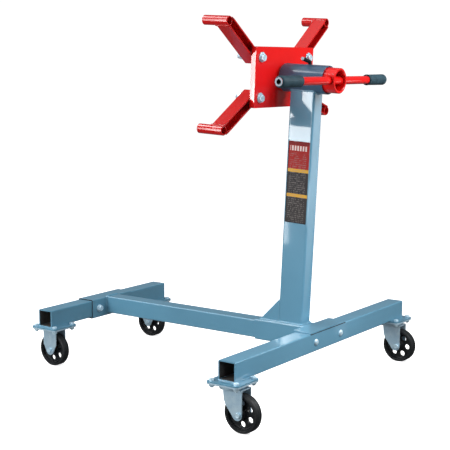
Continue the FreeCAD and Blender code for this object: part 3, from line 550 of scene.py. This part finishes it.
def threaded_shank(vertices, faces, seat, direction, length, radius, pitch, threaded):
    """Round shank down from the seat whose last stretch carries a helical thread."""
    side, other = axes_for(direction)
    depth = 0.54 * pitch
    step = pitch / 4
    count = max(4, round(length / step))
    rings = []
    for row in range(count + 1):
        down = length * row / count
        ring = []
        for turn in range(THREAD_SIDES):
            angle = 2 * math.pi * turn / THREAD_SIDES
            phase = (down / pitch + turn / THREAD_SIDES) % 1.0
            groove = 1 - abs(2 * phase - 1)
            run_in = min(1.0, max(0.0, (down - (length - threaded)) / pitch))
            local = radius - depth * groove * run_in
            lead = min(1.0, (length - down) / (0.9 * pitch))
            local = min(local, radius - depth * (1 - lead))
            out = side * math.cos(angle) + other * math.sin(angle)
            ring.append(seat - direction * down + out * local)
        rings.append(ring)
    skin_rings(vertices, faces, rings)
    cap(vertices, faces, rings[0], flip=True)
    cap(vertices, faces, rings[-1])


HEAD_SIDES = 48
CORNER_REACH = 1.13
# Share of the height, share of the radius, and how far the corners reach past the
# flats; a reach of 0 is a round ring.
HEX_PROFILE = (
    (0.00, 0.93, 0.0), (0.06, 0.93, 0.0), (0.07, 0.99, CORNER_REACH), (0.12, 1.0, CORNER_REACH),
    (0.86, 1.0, CORNER_REACH), (0.93, 0.985, 1.07), (0.985, 0.95, 0.0), (1.00, 0.90, 0.0),
    (0.97, 0.62, 0.0), (0.92, 0.50, 0.0),
)


def hex_radius(angle, flats):
    """Distance from the middle of a hexagon with blunt corners to its side at an angle."""
    sector = (angle + math.pi / 6) % (math.pi / 3) - math.pi / 6
    return min(flats / 2 / math.cos(sector), flats / 2 * CORNER_REACH)


def hex_head(vertices, faces, seat, direction, flats, height):
    """Forged hexagon head: washer face, rounded corners, chamfered top with a shallow dish."""
    side, other = axes_for(direction)
    rings = []
    for level, share, corner in HEX_PROFILE:
        ring = []
        for turn in range(HEAD_SIDES):
            angle = 2 * math.pi * turn / HEAD_SIDES
            local = flats / 2 * share
            if corner:
                local = min(hex_radius(angle, flats) * share, flats / 2 * corner)
            out = side * math.cos(angle) + other * math.sin(angle)
            ring.append(seat + direction * (height * level) + out * local)
        rings.append(ring)
    skin_rings(vertices, faces, rings[::-1])
    cap(vertices, faces, rings[0], flip=True)
    cap(vertices, faces, rings[-1])


def dome_head(vertices, faces, seat, direction, head_radius, height):
    """Round head like a slice of a ball with a soft rim."""
    side, other = axes_for(direction)
    rings = []
    for row in range(9):
        tilt = math.radians(86) * row / 8
        local = head_radius * math.cos(tilt)
        rise = height * (0.12 + 0.88 * math.sin(tilt)) if row else 0.0
        ring = []
        for turn in range(HEAD_SIDES):
            angle = 2 * math.pi * turn / HEAD_SIDES
            out = side * math.cos(angle) + other * math.sin(angle)
            ring.append(seat + direction * rise + out * local)
        rings.append(ring)
    skin_rings(vertices, faces, rings[::-1])
    cap(vertices, faces, rings[0], flip=True)
    cap(vertices, faces, rings[-1])


def threaded_bolts(node, direction, radius, head_height, pitch, threaded, flats=0.0, dome=0.0):
    """Replace the bolts of a node with ones that have heads and threads in the mesh."""
    vertices = []
    faces = []
    for group in solids_of(node):
        along = [point.dot(direction) for point in group]
        top, tip = max(along), min(along)
        low = Vector(map(min, *group))
        high = Vector(map(max, *group))
        middle = (low + high) / 2
        centre = middle + direction * (top - head_height - middle.dot(direction))
        threaded_shank(vertices, faces, centre, direction, top - head_height - tip, radius, pitch, threaded)
        if dome:
            dome_head(vertices, faces, centre, direction, dome, head_height)
        else:
            hex_head(vertices, faces, centre, direction, flats, head_height)
    piece = add_detail(node + "_threaded", BODY_OF[node], SLOT_OF[node], vertices, faces)
    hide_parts(node)


threaded_bolts("arm_bolts", HEAD_AXIS, 6.0 * MM, 7.5 * MM, 1.75 * MM, 45 * MM, flats=18 * MM)
threaded_bolts("sleeve_bolts", Vector((0, 1, 0)), 5.0 * MM, 8.0 * MM, 1.5 * MM, 22 * MM, flats=16 * MM)
threaded_bolts("beam_bolts", Vector((0, 1, 0)), 5.0 * MM, 5.5 * MM, 1.5 * MM, 22 * MM, dome=9 * MM)
threaded_bolts("caster_bolts", Vector((0, 0, 1)), 4.0 * MM, 5.3 * MM, 1.25 * MM, 14 * MM, flats=13 * MM)
for node in ("axle_bolts_front", "axle_bolt_rear_left", "axle_bolt_rear_right"):
    threaded_bolts(node, ACROSS, 4.0 * MM, 5.3 * MM, 1.25 * MM, 12 * MM, flats=13 * MM)


# --- Weld beads ----------------------------------------------------------------------
BEAD_STEP = 0.75 * MM
BEAD_SIDES = 12
RIPPLE = 3.0 * MM


def resample(points, closed):
    """Even steps along a polyline."""
    path = [Vector(point) for point in points]
    if closed:
        path.append(path[0].copy())
    lengths = [(b - a).length for a, b in zip(path, path[1:])]
    total = sum(lengths)
    count = max(4, round(total / BEAD_STEP))
    steps = count if closed else count + 1
    spots = []
    index = 0
    passed = 0.0
    for number in range(steps):
        wanted = total * number / count
        while index < len(lengths) - 1 and passed + lengths[index] < wanted:
            passed += lengths[index]
            index += 1
        share = (wanted - passed) / max(lengths[index], 1e-9)
        spots.append(path[index].lerp(path[index + 1], min(1.0, share)))
    return spots


def weld_bead(name, body, slot, points, radius, closed=False):
    """Hand-laid bead: overlapping ripples, each a crescent, along a path of points."""
    spots = resample(points, closed)
    count = len(spots)
    phase = random.uniform(0, 2 * math.pi)
    rings = []
    for index, spot in enumerate(spots):
        before = spots[index - 1] if index or closed else spot
        after = spots[(index + 1) % count] if index + 1 < count or closed else spot
        along = (after - before).normalized()
        side, other = axes_for(along)
        travelled = index * BEAD_STEP
        saw = (travelled / RIPPLE + 0.12 * math.sin(travelled / (7 * MM) + phase)) % 1.0
        swell = 1.0 + 0.10 * math.sin(math.pi * saw) - 0.07 * saw
        swell += 0.05 * math.sin(travelled / (13 * MM) + phase)
        end = 1.0
        if not closed:
            reach = min(index, count - 1 - index) * BEAD_STEP
            end = math.sqrt(min(1.0, (reach + 0.3 * MM) / radius))
        ring = []
        for turn in range(BEAD_SIDES):
            angle = 2 * math.pi * turn / BEAD_SIDES
            out = side * math.cos(angle) + other * math.sin(angle)
            ring.append(spot + out * (radius * swell * end))
        rings.append(ring)
    vertices = []
    faces = []
    skin_rings(vertices, faces, rings, closed)
    if not closed:
        cap(vertices, faces, rings[0], flip=True)
        cap(vertices, faces, rings[-1])
    return add_detail(name, body, slot, vertices, faces, math.radians(75))


def rounded_loop(half_x, half_y, corner, steps=5):
    """Closed rounded rectangle as (x, y) pairs."""
    points = []
    for quarter, (sign_x, sign_y) in enumerate(((1, 1), (-1, 1), (-1, -1), (1, -1))):
        for step in range(steps + 1):
            angle = math.pi / 2 * (quarter + step / steps)
            x = sign_x * (half_x - corner) + corner * math.cos(angle)
            y = sign_y * (half_y - corner) + corner * math.sin(angle)
            points.append((x, y))
    return points


def on_mast(x, v, u_from_head):
    """Point in the mast frame, with u measured from the head axis."""
    return HEAD_CENTRE + ACROSS * x + HEAD_AXIS * v + MAST_UP * u_from_head


def mast_foot_welds():
    """Round the mast foot and gusset on the socket, and up the gusset's seams."""
    foot_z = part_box("mast_tube")[0].z
    gusset_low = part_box("mast_gusset")[0]
    drop = (foot_z - HEAD_CENTRE.z) / MAST_UP.z
    rear = on_mast(0, MAST_HALF_V, drop + MAST_HALF_V * HEAD_AXIS.z / -MAST_UP.z).y
    front = gusset_low.y
    middle = (rear + front) / 2
    loop = rounded_loop(MAST_HALF_X, (rear - front) / 2, 4 * MM)
    points = [Vector((x, middle + y, foot_z + 0.4 * MM)) for x, y in loop]
    weld_bead("weld_mast_foot", "base", "blue_paint", points, 4.2 * MM, closed=True)
    for name, side in SIDES.items():
        x = side * (MAST_HALF_X - 1.6 * MM)
        seam = [on_mast(x, -MAST_HALF_V + 1.4 * MM, drop + GUSSET_HEIGHT * step / 8) for step in range(9)]
        weld_bead("weld_gusset_" + name, "base", "blue_paint", seam, 2.6 * MM)
    top = drop + GUSSET_HEIGHT - 1.0 * MM
    across = [on_mast(x * MAST_HALF_X * 0.82, -MAST_HALF_V, top) for x in (-1, 0, 1)]
    weld_bead("weld_gusset_top", "base", "blue_paint", across, 3.0 * MM)


def housing_welds():
    """Where the coped mast top meets the round housing."""
    points = rounded_loop(MAST_HALF_X, MAST_HALF_V, MAST_CORNER, 6)
    dense = []
    for (x1, v1), (x2, v2) in zip(points, points[1:] + points[:1]):
        for step in range(6):
            share = step / 6
            dense.append((x1 + (x2 - x1) * share, v1 + (v2 - v1) * share))
    saddle = [on_mast(x, v, -math.sqrt(HOUSING_RADIUS ** 2 - x ** 2)) for x, v in dense]
    weld_bead("weld_housing", "base", "blue_paint", saddle, 2.8 * MM, closed=True)


def ring_points(centre, normal, radius, count=72):
    """Even points round a circle."""
    side, other = axes_for(normal)
    angles = [2 * math.pi * step / count for step in range(count)]
    return [centre + (side * math.cos(a) + other * math.sin(a)) * radius for a in angles]


def plate_weld():
    """Where the head tube meets the back of the mounting plate."""
    centre = HEAD_CENTRE + HEAD_AXIS * (PLATE_BACK + 0.2 * MM)
    points = ring_points(centre, HEAD_AXIS, HEAD_TUBE_RADIUS + 0.1 * MM, 96)
    weld_bead("weld_plate", "head", "red_paint", points, 2.6 * MM, closed=True)


def socket_weld():
    """Three sides of the socket on the saddle bracket."""
    low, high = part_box("rear_socket")
    bracket_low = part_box("saddle_bracket")[0]
    y = high.y
    corner = TUBE_CORNER
    points = [Vector((low.x, y, bracket_low.z + 1 * MM)), Vector((low.x, y, high.z - corner))]
    points.append(Vector((low.x + corner, y, high.z)))
    points.append(Vector((high.x - corner, y, high.z)))
    points.append(Vector((high.x, y, high.z - corner)))
    points.append(Vector((high.x, y, bracket_low.z + 1 * MM)))
    weld_bead("weld_socket", "base", "blue_paint", points, 3.2 * MM)


def spine_weld():
    """All round the spine where it meets the front sleeve."""
    low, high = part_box("spine_tube")
    middle = (low + high) / 2
    loop = rounded_loop(TUBE_HALF, TUBE_HALF, TUBE_CORNER)
    points = [Vector((x, low.y, middle.z + z)) for x, z in loop]
    weld_bead("weld_spine", "base", "blue_paint", points, 3.2 * MM, closed=True)


def pad_welds():
    """Each caster pad under the end of its tube, welded on three sides."""
    for end, tube in (("rear", "rear_crossbeam"), ("front", "front_crossbar")):
        tube_low, tube_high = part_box(tube)
        for name, side in SIDES.items():
            pad_low, pad_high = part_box("caster_pad_" + end + "_" + name)
            inner = pad_low.x if side > 0 else pad_high.x
            outer = tube_high.x if side > 0 else tube_low.x
            z = pad_high.z + 0.3 * MM
            near, far = tube_high.y - 1 * MM, tube_low.y + 1 * MM
            points = [Vector((inner + side * 3 * MM, near, z)), Vector((outer, near, z)),
                      Vector((outer, far, z)), Vector((inner + side * 3 * MM, far, z))]
            weld_bead("weld_pad_" + end + "_" + name, "base", "blue_paint", points, 2.6 * MM)


def arm_welds():
    """Round the cope of each arm channel on its tube."""
    for arm in ARMS:
        joint = JOINTS["arm_swing_" + arm]
        pivot = Vector(joint["pos_m"])
        low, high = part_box("arm_tube_" + arm)
        tube_middle = (low + high) / 2
        reach = tube_middle - pivot
        out = (reach - HEAD_AXIS * reach.dot(HEAD_AXIS)).normalized()
        tube_centre = pivot + out * ARM_REACH
        channel = [vertex.co.dot(HEAD_AXIS) for vertex in NODES["arm_channel_" + arm].data.vertices]
        front, back = min(channel), max(channel)
        plane = tube_centre - HEAD_AXIS * tube_centre.dot(HEAD_AXIS)
        turn = HEAD_AXIS.cross(out)
        points = []
        spread = math.radians(72)
        radius = ARM_TUBE_RADIUS + 0.2 * MM
        for share in (0.0, 0.5, 1.0):
            depth = back + (front - back) * share - (1 if share else -0.5) * 0.5 * MM
            arc_end = -out * math.cos(spread) + turn * math.sin(spread)
            points.append(plane + HEAD_AXIS * depth + arc_end * radius)
        for step in range(1, 12):
            angle = spread - 2 * spread * step / 12
            arc = -out * math.cos(angle) + turn * math.sin(angle)
            points.append(plane + HEAD_AXIS * front + arc * radius)
        for share in (1.0, 0.5, 0.0):
            depth = back + (front - back) * share
            arc_end = -out * math.cos(spread) - turn * math.sin(spread)
            points.append(plane + HEAD_AXIS * depth + arc_end * radius)
        bead = weld_bead("weld_arm_" + arm, BODY_OF["arm_tube_" + arm], "red_paint", points, 2.3 * MM)
        # Painted shade: the bead takes the arms' deeper copy of the red paint.
        bead.data.materials[0] = ARM_SHADED_RED


def bracket_gap_shadow():
    """Painted shadow: a near-black strip in the gap over the crossbeam's rounded corner, below the bracket's edge.
    """
    bracket_low, bracket_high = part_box("saddle_bracket")
    beam_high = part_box("rear_crossbeam")[1]
    z = beam_high.z
    outer = beam_high.y - 0.2 * MM
    inner = beam_high.y - 3.4 * MM
    section = [(outer, z), (outer, z - 2.6 * MM), (inner, z - 0.4 * MM), (inner, z)]
    rings = [[Vector((x, py, pz)) for py, pz in section] for x in (bracket_low.x, bracket_high.x)]
    vertices = []
    faces = []
    skin_rings(vertices, faces, rings)
    cap(vertices, faces, rings[0], flip=True)
    cap(vertices, faces, rings[1])
    seam = add_detail("bracket_gap_shadow", "base", "blue_paint", vertices, faces)
    # The strip takes the near-black finish as painted shadow.
    seam.data.materials[0] = PAINTED_GAP_SHADOW


mast_foot_welds()
bracket_gap_shadow()
housing_welds()
plate_weld()
socket_weld()
spine_weld()
pad_welds()
arm_welds()


# --- Turned pieces: tyres and grips ----------------------------------------------------
LATHE_SIDES = 96


def lathe(vertices, faces, centre, direction, profile):
    """Closed profile of (along, radius) points turned about a line."""
    side, other = axes_for(direction)
    rings = []
    for turn in range(LATHE_SIDES):
        angle = 2 * math.pi * turn / LATHE_SIDES
        out = side * math.cos(angle) + other * math.sin(angle)
        rings.append([centre + direction * along + out * radius for along, radius in profile])
    skin_rings(vertices, faces, rings, closed=True)


def arc(centre_along, centre_radius, size, start, end, steps):
    """Profile points on an arc, angles in degrees from the axis direction."""
    points = []
    for step in range(steps + 1):
        angle = math.radians(start + (end - start) * step / steps)
        points.append((centre_along + size * math.cos(angle), centre_radius + size * math.sin(angle)))
    return points


def tyre_profile(half_width, inner):
    """Solid tyre: round shoulders, two shallow grooves, a moulding line and bead lips."""
    shoulder = 4.0 * MM
    groove = 0.7 * MM
    outer = WHEEL_RADIUS
    half = [(0.0, outer), (0.35 * MM, outer - 0.12 * MM), (3.6 * MM, outer - 0.12 * MM)]
    half += [(3.9 * MM, outer - groove), (5.0 * MM, outer - groove), (5.3 * MM, outer - 0.15 * MM)]
    half += arc(half_width - shoulder, outer - shoulder, shoulder, 90, 8, 7)[1:]
    half += [(half_width, outer - shoulder - 0.6 * MM), (half_width - 0.5 * MM, inner + 2.2 * MM)]
    half += [(half_width - 0.1 * MM, inner + 1.7 * MM), (half_width - 0.1 * MM, inner + 0.5 * MM)]
    half += [(half_width - 0.6 * MM, inner)]
    mirrored = [(-along, radius) for along, radius in reversed(half[1:])]
    return half + mirrored


def add_tyre(place, name):
    """Lathed tyre in place of the CAD ring."""
    node = "tyre_" + place + "_" + name
    low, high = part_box(node)
    middle = (low + high) / 2
    inner = min((Vector((0, v.co.y, v.co.z)) - Vector((0, middle.y, middle.z))).length
                for v in NODES[node].data.vertices)
    profile = tyre_profile((high.x - low.x) / 2, inner)
    vertices = []
    faces = []
    lathe(vertices, faces, middle, ACROSS, profile[::-1])
    piece = add_detail(node + "_moulded", BODY_OF[node], "tyre_rubber", vertices, faces, math.radians(30))
    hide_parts(node)


def add_grip(name, side):
    """Dipped vinyl grip with a rolled inner edge, shallow finger bands and a domed end."""
    node = "grip_" + name
    low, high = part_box(node)
    middle = (low + high) / 2
    length = high.x - low.x
    outer = (high.z - low.z) / 2
    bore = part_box("handle_bar")
    inner = (bore[1].z - bore[0].z) / 2 + 0.02 * MM
    end = length / 2
    profile = [(-end, inner), (-end, outer - 2.4 * MM)]
    profile += arc(-end + 2.0 * MM, outer - 2.0 * MM, 2.0 * MM, 180, 90, 5)[1:]
    profile += [(-end + 4.5 * MM, outer), (-end + 5.6 * MM, outer - 0.7 * MM)]
    stations = 40
    for step in range(stations + 1):
        share = step / stations
        along = -end + 7 * MM + (length - 15 * MM) * share
        wave = 0.05 * MM * (1 - math.cos(2 * math.pi * 6 * share)) / 2
        profile.append((along, outer - 0.55 * MM * (1 - share) - wave))
    profile += arc(end - 6.0 * MM, outer - 6.0 * MM, 6.0 * MM, 88, 14, 8)
    profile += [(end, outer - 3.6 * MM), (end, inner)]
    profile = [(along * side, radius) for along, radius in profile]
    vertices = []
    faces = []
    lathe(vertices, faces, middle, ACROSS, profile if side < 0 else profile[::-1])
    piece = add_detail(node + "_dipped", BODY_OF[node], "grip_vinyl", vertices, faces, math.radians(40))
    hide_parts(node)


for place in ("rear", "front"):
    for name in SIDES:
        add_tyre(place, name)
for name, side in SIDES.items():
    add_grip(name, side)


# --- Wheel rings -----------------------------------------------------------------------
WEB_HALF = 4.0 * MM
RING_HEIGHT = 1.2 * MM


def wheel_rings(place, name):
    """Raised ring moulded on both faces of the web."""
    node = "wheel_" + place + "_" + name
    low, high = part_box(node)
    middle = (low + high) / 2
    vertices = []
    faces = []
    for side in (1, -1):
        flat = side * WEB_HALF
        top = side * (WEB_HALF + RING_HEIGHT)
        profile = [(flat, 16.6 * MM), (top, 17.0 * MM), (top, 17.8 * MM), (flat, 18.2 * MM)]
        lathe(vertices, faces, middle, ACROSS, profile if side > 0 else profile[::-1])
    add_detail(node + "_ring", BODY_OF[node], "wheel_plastic", vertices, faces, math.radians(30))


for place in ("rear", "front"):
    for name in SIDES:
        wheel_rings(place, name)


# --- Label -------------------------------------------------------------------------------
def add_label():
    """Film on the mast with rounded corners, a crisp edge and its own flat coordinates."""
    node = "mast_label"
    points = [vertex.co for vertex in NODES[node].data.vertices]
    ups = [(point - HEAD_CENTRE).dot(MAST_UP) for point in points]
    sides = [(point - HEAD_CENTRE).dot(HEAD_AXIS) for point in points]
    xs = [point.x for point in points]
    height, width = max(ups) - min(ups), max(sides) - min(sides)
    mid_up, mid_side = (max(ups) + min(ups)) / 2, (max(sides) + min(sides)) / 2
    outline = rounded_loop(width / 2, height / 2, 2.2 * MM, 6)
    grid = bmesh.new()
    back = [grid.verts.new(on_mast(min(xs), mid_side + s, mid_up + u)) for s, u in outline]
    front = [grid.verts.new(on_mast(max(xs), mid_side + s, mid_up + u)) for s, u in outline]
    grid.faces.new(back[::-1])
    grid.faces.new(front)
    for index in range(len(outline)):
        after = (index + 1) % len(outline)
        grid.faces.new((back[index], back[after], front[after], front[index]))
    bmesh.ops.recalc_face_normals(grid, faces=grid.faces)
    sheet = grid.loops.layers.uv.new("sheet")
    for face in grid.faces:
        for corner in face.loops:
            offset = corner.vert.co - HEAD_CENTRE
            across = (max(sides) - offset.dot(HEAD_AXIS)) / width
            corner[sheet].uv = (1 - across, (offset.dot(MAST_UP) - min(ups)) / height)
    mesh = bpy.data.meshes.new(node)
    grid.to_mesh(mesh)
    grid.free()
    piece = link(node + "_printed", mesh)
    finish_mesh(piece, 0.08 * MM)
    stand_for(piece, node)


add_label()


# --- Stage, light and camera ---------------------------------------------------------------
FLOOR_RADIUS = 9.0
CAMERA_PLACE = Vector((2.568, 1.9003, 0.8857))
CAMERA_AZIMUTH = 125.7
CAMERA_ELEVATION = 8.14
CAMERA_LENS = 89.44
SENSOR_WIDTH = 36.0
WORLD_LIGHT = 0.15
REAR_CARD_PLACE = (-0.60, 0.705)
REAR_CARD_SIZE = (0.045, 0.80)
REAR_CARD_GLOW = (0.4, 3.0)
# Name, place, point aimed at, width, height and brightness.  The cards, side_strip and
# arm_strip are there to be mirrored by the gloss paint, and the rest light the object.
SOFTBOXES = (
    ("side", (2.3, -0.2, 0.85), (0.0, 0.2, 0.3), 1.3, 1.3, 4.9),
    ("side_strip", (1.725, -0.89, 1.08), (0.0, -0.89, 1.08), 0.18, 2.0, 9.0),
    ("rear", (-0.25, 1.10, 1.25), (0.0, 0.33, 0.85), 0.6, 0.6, 10.4),
    ("rear_strip", (0.05, 0.78, 0.42), (0.0, 0.40, 0.15), 1.2, 0.2, 4.2),
    ("front_top", (0.4, -1.6, 2.0), (0.0, 0.1, 0.2), 1.6, 1.6, 4.2),
    ("overhead", (0.1, 0.1, 2.5), (0.0, 0.0, 0.2), 2.0, 2.0, 0.6),
    ("mast_side_card", (1.725, -0.72, 0.665), (0.02, 0.33, 0.72), 0.18, 0.30, 15.0),
    ("plate_edge_card", (1.725, -0.834, 0.833), (0.142, 0.246, 0.854), 0.09, 0.30, 13.0),
    ("arm_strip", (0.48, -0.73, 2.10), (0.0, 0.10, 0.90), 1.0, 0.34, 9.0),
)


def add_floor():
    """Round pale floor that fades to plain white away from the object."""
    grid = bmesh.new()
    bmesh.ops.create_circle(grid, cap_ends=True, segments=96, radius=FLOOR_RADIUS)
    mesh = bpy.data.meshes.new("floor")
    grid.to_mesh(mesh)
    grid.free()
    floor = link("floor", mesh)
    floor.location = ((CAD_LOW.x + CAD_HIGH.x) / 2, (CAD_LOW.y + CAD_HIGH.y) / 2, CAD_LOW.z - 0.2 * MM)
    floor.visible_diffuse = False
    floor.visible_glossy = False
    shader = Shader("floor_paper")
    grain = shader.span(shader.noise(30, 3), 0.3, 0.7)
    distance = shader.node("ShaderNodeVectorMath", operation="LENGTH")
    shader.link(shader.place, distance.inputs[0])
    glow = shader.span(distance.outputs["Value"], 0.5, 2.2, 0.70, 1.0)
    shader.set(Base_Color=shader.mix(grain, rgb(0.90, 0.90, 0.90), rgb(0.94, 0.94, 0.94)), Roughness=0.85)
    shader.set(Emission_Color=rgb(1, 1, 1), Emission_Strength=glow)
    shader.bump((shader.noise(400, 2), 0.02, 0.2 * MM))
    mesh.materials.append(shader.material)


def add_world():
    """White beyond the stage; the light that it sheds on the object is dimmer."""
    world = bpy.data.worlds.new("studio")
    bpy.context.scene.world = world
    world.use_nodes = True
    tree = world.node_tree
    lit = tree.nodes["Background"]
    lit.inputs["Color"].default_value = (0.95, 0.98, 1.0, 1.0)
    lit.inputs["Strength"].default_value = WORLD_LIGHT
    seen = tree.nodes.new("ShaderNodeBackground")
    seen.inputs["Color"].default_value = (1.0, 1.0, 1.0, 1.0)
    seen.inputs["Strength"].default_value = 1.05
    ray = tree.nodes.new("ShaderNodeLightPath")
    choose = tree.nodes.new("ShaderNodeMixShader")
    tree.links.new(ray.outputs["Is Camera Ray"], choose.inputs["Fac"])
    tree.links.new(lit.outputs["Background"], choose.inputs[1])
    tree.links.new(seen.outputs["Background"], choose.inputs[2])
    tree.links.new(choose.outputs["Shader"], tree.nodes["World Output"].inputs["Surface"])


def add_softbox(name, place, target, width, height, brightness):
    """Rectangular soft light of an even brightness, aimed at a point."""
    data = bpy.data.lights.new(name, "AREA")
    data.shape = "RECTANGLE"
    data.size = width
    data.size_y = height
    data.energy = math.pi * width * height * brightness
    lamp = bpy.data.objects.new(name, data)
    bpy.context.scene.collection.objects.link(lamp)
    lamp.location = place
    lamp.rotation_euler = (Vector(target) - Vector(place)).to_track_quat("-Z", "Y").to_euler()
    lamp.visible_camera = False


def add_rear_card():
    """Tall narrow reflector, brighter towards its top, that the back of the mast mirrors."""
    x, y = REAR_CARD_PLACE
    width, height = REAR_CARD_SIZE
    mesh = bpy.data.meshes.new("rear_card")
    near, far = y - width / 2, y + width / 2
    corners = [(x, near, 0), (x, far, 0), (x, far, height), (x, near, height)]
    mesh.from_pydata(corners, [], [(0, 1, 2, 3)])
    card = link("rear_card", mesh)
    card.visible_camera = False
    card.visible_shadow = False
    shader = Shader("rear_card_glow")
    split = shader.node("ShaderNodeSeparateXYZ")
    shader.link(shader.place, split.inputs["Vector"])
    glow = shader.span(split.outputs["Z"], 0.0, height, *REAR_CARD_GLOW)
    shader.set(Base_Color=rgb(0, 0, 0), Emission_Color=rgb(1, 1, 1), Emission_Strength=glow)
    mesh.materials.append(shader.material)


def add_camera():
    """Long-lens camera behind the handle, off to its left and looking slightly down."""
    data = bpy.data.cameras.new("camera")
    data.lens = CAMERA_LENS
    data.sensor_width = SENSOR_WIDTH
    camera = bpy.data.objects.new("camera", data)
    bpy.context.scene.collection.objects.link(camera)
    turn = math.radians(CAMERA_AZIMUTH)
    tilt = math.radians(CAMERA_ELEVATION)
    back = Vector((math.sin(turn) * math.cos(tilt), -math.cos(turn) * math.cos(tilt), math.sin(tilt)))
    camera.location = CAMERA_PLACE
    camera.rotation_euler = (-back).to_track_quat("-Z", "Y").to_euler()
    bpy.context.scene.camera = camera


add_floor()
add_world()
for softbox in SOFTBOXES:
    add_softbox(*softbox)
add_rear_card()
add_camera()
bpy.context.scene.view_settings.view_transform = "Standard"
